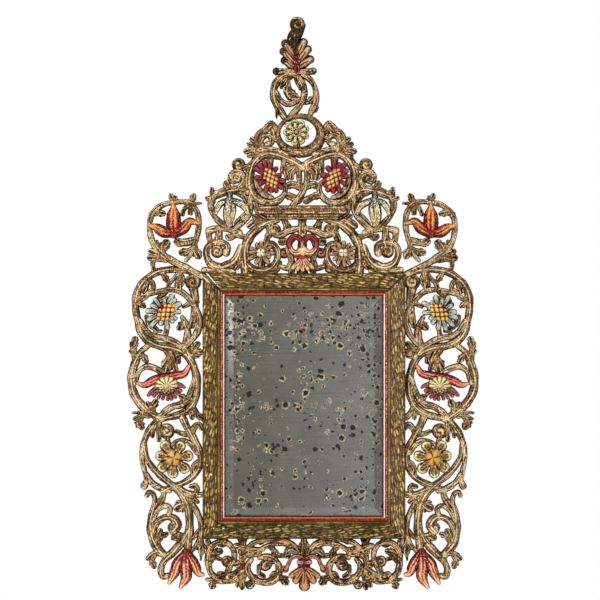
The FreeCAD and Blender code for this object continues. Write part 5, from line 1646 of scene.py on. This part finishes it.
# %% Finishes for the CAD nodes
keeps = {
    "mirror_glass": glass, "backboard": back_wood, "glazing_blocks": peg_wood,
    "backboard_nails": iron, "mitre_keys": peg_wood, "hanging_staple": iron,
    "left_wing_pegs": peg_wood, "right_wing_pegs": peg_wood, "crest_pegs": peg_wood,
    "apron_pegs": peg_wood, "finial_pegs": peg_wood,
}
for name, material in keeps.items():
    cad[name].data.materials.clear()
    cad[name].data.materials.append(material)
cad["mirror_glass"].visible_shadow = False
print(len(keeps), "nodes keep their shape")

# %% The hanging ring
RING_TURNS, WIRE_TURNS = 72, 20
ring_low, ring_high = (np.array(corner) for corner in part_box("hanging_ring"))
ring_middle = (ring_low + ring_high) / 2
wire = (ring_high[1] - ring_low[1]) / 2
ring_radius = (ring_high[2] - ring_low[2]) / 2 - wire
a = np.linspace(0, 2 * np.pi, RING_TURNS, endpoint=False)[:, None]
b = np.linspace(0, 2 * np.pi, WIRE_TURNS, endpoint=False)[None, :]
reach = ring_radius + wire * np.cos(b)
torus = ring_middle + np.stack([reach * np.cos(a), wire * np.sin(b) + 0 * a, reach * np.sin(a)], -1)
ring = shell(torus, 0.5, 0.5, looped=True)
piece("hanging_ring_wire", [ring], [iron], "hanging_ring", body="ring")

# %% [markdown]
# ## Floor, light and camera
# The studio is white all round, with a soft key lamp high on the left, a weaker one on the right and one
# for the back. The mirror must show something: a grey card stands behind the camera, seen only in
# reflections, with a bright slot on the left that lights the left bevel.

# %% Floor
FLOOR_Z, FLOOR_HALF, FLOOR_POINTS = -0.72, 2.4, 9


def sheet_of(name, x, y, z, material):
    """A grid surface from three coordinate arrays."""
    k, m = x.shape
    i, j = np.meshgrid(np.arange(k - 1), np.arange(m - 1), indexing="ij")
    quads = np.stack([i * m + j, i * m + j + 1, (i + 1) * m + j + 1, (i + 1) * m + j], -1).reshape(-1, 4)
    mesh = bpy.data.meshes.new(name)
    mesh.from_pydata(np.stack([x, y, z], -1).reshape(-1, 3), [], quads)
    mesh.materials.append(material)
    made = bpy.data.objects.new(name, mesh)
    bpy.context.scene.collection.objects.link(made)
    return made


floor_paint, tree, shader = blank("pale floor")
fleck = cloud(tree, object_place(tree), 3.0)
colour = washed(tree, (0.86, 0.86, 0.85, 1.0), (0.9, 0.9, 0.9, 1.0), fleck, 0.0, 1.0)
tree.links.new(colour, shader.inputs["Base Color"])
shader.inputs["Roughness"].default_value = 0.9
edge = np.linspace(-FLOOR_HALF, FLOOR_HALF, FLOOR_POINTS)
x, y = np.meshgrid(edge, edge, indexing="ij")
sheet_of("floor", x, y, np.full_like(x, FLOOR_Z), floor_paint)
print("floor at", FLOOR_Z)

# %% Grey card with a bright slot
CARD_RADIUS, CARD_END, CARD_FOOT, CARD_HEAD = 14.0, 100.0, -8, 12
CARD_COLUMNS, CARD_ROWS = 40, 4
SLOT = (2.75, 6.5)


def card_glow(name):
    """A glowing material that no light shades; gives its tree, the place on the card and the glow too."""
    made, tree, shader = blank(name)
    tree.nodes.remove(shader)
    glow = put(tree, "ShaderNodeEmission", {"Strength": 1.0})
    tree.links.new(glow.outputs[0], tree.nodes["Material Output"].inputs["Surface"])
    return made, tree, object_place(tree), glow


card_grey, tree, spot, glow = card_glow("grey card")
sideways = axes_of(tree, spot)[0]
shade = washed(tree, (0.2, 0.19, 0.172, 1.0), (0.31, 0.306, 0.296, 1.0), sideways, -0.6, 0.6)
tree.links.new(shade, glow.inputs["Color"])
slot_white, tree, spot, glow = card_glow("bright slot")
axes = axes_of(tree, spot)
beam = times(tree, window(tree, axes[0], 0.8, 0.815), window(tree, axes[0], 0.855, 0.84))
beam = times(tree, beam, window(tree, axes[2], -0.4, 0.2))
beam = times(tree, beam, window(tree, cloud(tree, spot, 9.0, 2.0), 0.3, 0.62))
shade = mixed(tree, beam, (0.26, 0.26, 0.25, 1.0), (1.5, 1.5, 1.45, 1.0))
tree.links.new(shade, glow.inputs["Color"])
card_parts = {
    "card_left": (-CARD_END, SLOT[0], card_grey),
    "card_slot": (*SLOT, slot_white),
    "card_right": (SLOT[1], CARD_END, card_grey),
}
for name, (start, stop, material) in card_parts.items():
    turns = np.radians(np.linspace(start, stop, CARD_COLUMNS))
    turns, rise = np.meshgrid(turns, np.linspace(CARD_FOOT, CARD_HEAD, CARD_ROWS), indexing="ij")
    card = sheet_of(name, CARD_RADIUS * np.sin(turns), -CARD_RADIUS * np.cos(turns), rise, material)
    card.visible_camera = False
    card.visible_diffuse = False
    card.visible_shadow = False
print("card stands", CARD_RADIUS, "m off")

# %% World
world = bpy.data.worlds.new("studio")
bpy.context.scene.world = world
world.use_nodes = True
tree = world.node_tree
soft = tree.nodes["Background"]
soft.inputs["Color"].default_value = (0.95, 0.97, 1.0, 1.0)
soft.inputs["Strength"].default_value = 0.42
white = put(tree, "ShaderNodeBackground", {"Color": (1.0, 1.0, 1.0, 1.0), "Strength": 1.0})
path = put(tree, "ShaderNodeLightPath").outputs
seen = calc(tree, "MAXIMUM", path["Is Camera Ray"], path["Is Glossy Ray"])
seen = calc(tree, "MAXIMUM", seen, path["Is Transmission Ray"])
choose = put(tree, "ShaderNodeMixShader", {0: seen, 1: soft.outputs[0], 2: white.outputs[0]})
tree.links.new(choose.outputs[0], tree.nodes["World Output"].inputs["Surface"])
print("world of strength", round(soft.inputs["Strength"].default_value, 2), "that looks white")

# %% Lamps
LAMPS = {
    "key": ((-2.2, -3.0, 2.6), 1.4, 175.0),
    "fill": ((2.4, -3.2, 0.8), 2.0, 35.0),
    "rear": ((0.6, 3.4, 2.2), 2.0, 60.0),
}
LAMP_AIM = (0, 0, 0.2)
for name, (place, size, power) in LAMPS.items():
    light = bpy.data.lights.new(name, "AREA")
    light.size = size
    light.energy = power
    made = bpy.data.objects.new(name, light)
    made.location = place
    way = np.subtract(LAMP_AIM, place)
    lean = np.arctan2(np.hypot(way[0], way[1]), -way[2])
    made.rotation_euler = (lean, 0, np.arctan2(way[1], way[0]) - np.pi / 2)
    made.visible_glossy = False
    made.visible_transmission = False
    bpy.context.scene.collection.objects.link(made)
print(len(LAMPS), "lamps")

# %% Camera
FRAME_SQUARES = 600
FAR, FRONT, FAR_END = 6.0, 0.028, 50.0
SENSOR = 36.0
camera = bpy.data.cameras.new("camera")
camera.sensor_width = SENSOR
camera.lens = SENSOR * (FAR - FRONT) / (FRAME_SQUARES * SQUARE)
camera.clip_end = FAR_END
view = bpy.data.objects.new("camera", camera)
view.location = in_room(np.array([FRAME_SQUARES / 2, FRAME_SQUARES / 2]), -FAR)
view.rotation_euler = (np.pi / 2, 0, 0)
bpy.context.scene.collection.objects.link(view)
bpy.context.scene.camera = view
bpy.context.scene.view_settings.view_transform = "Standard"
print("lens", round(camera.lens, 1), "mm")
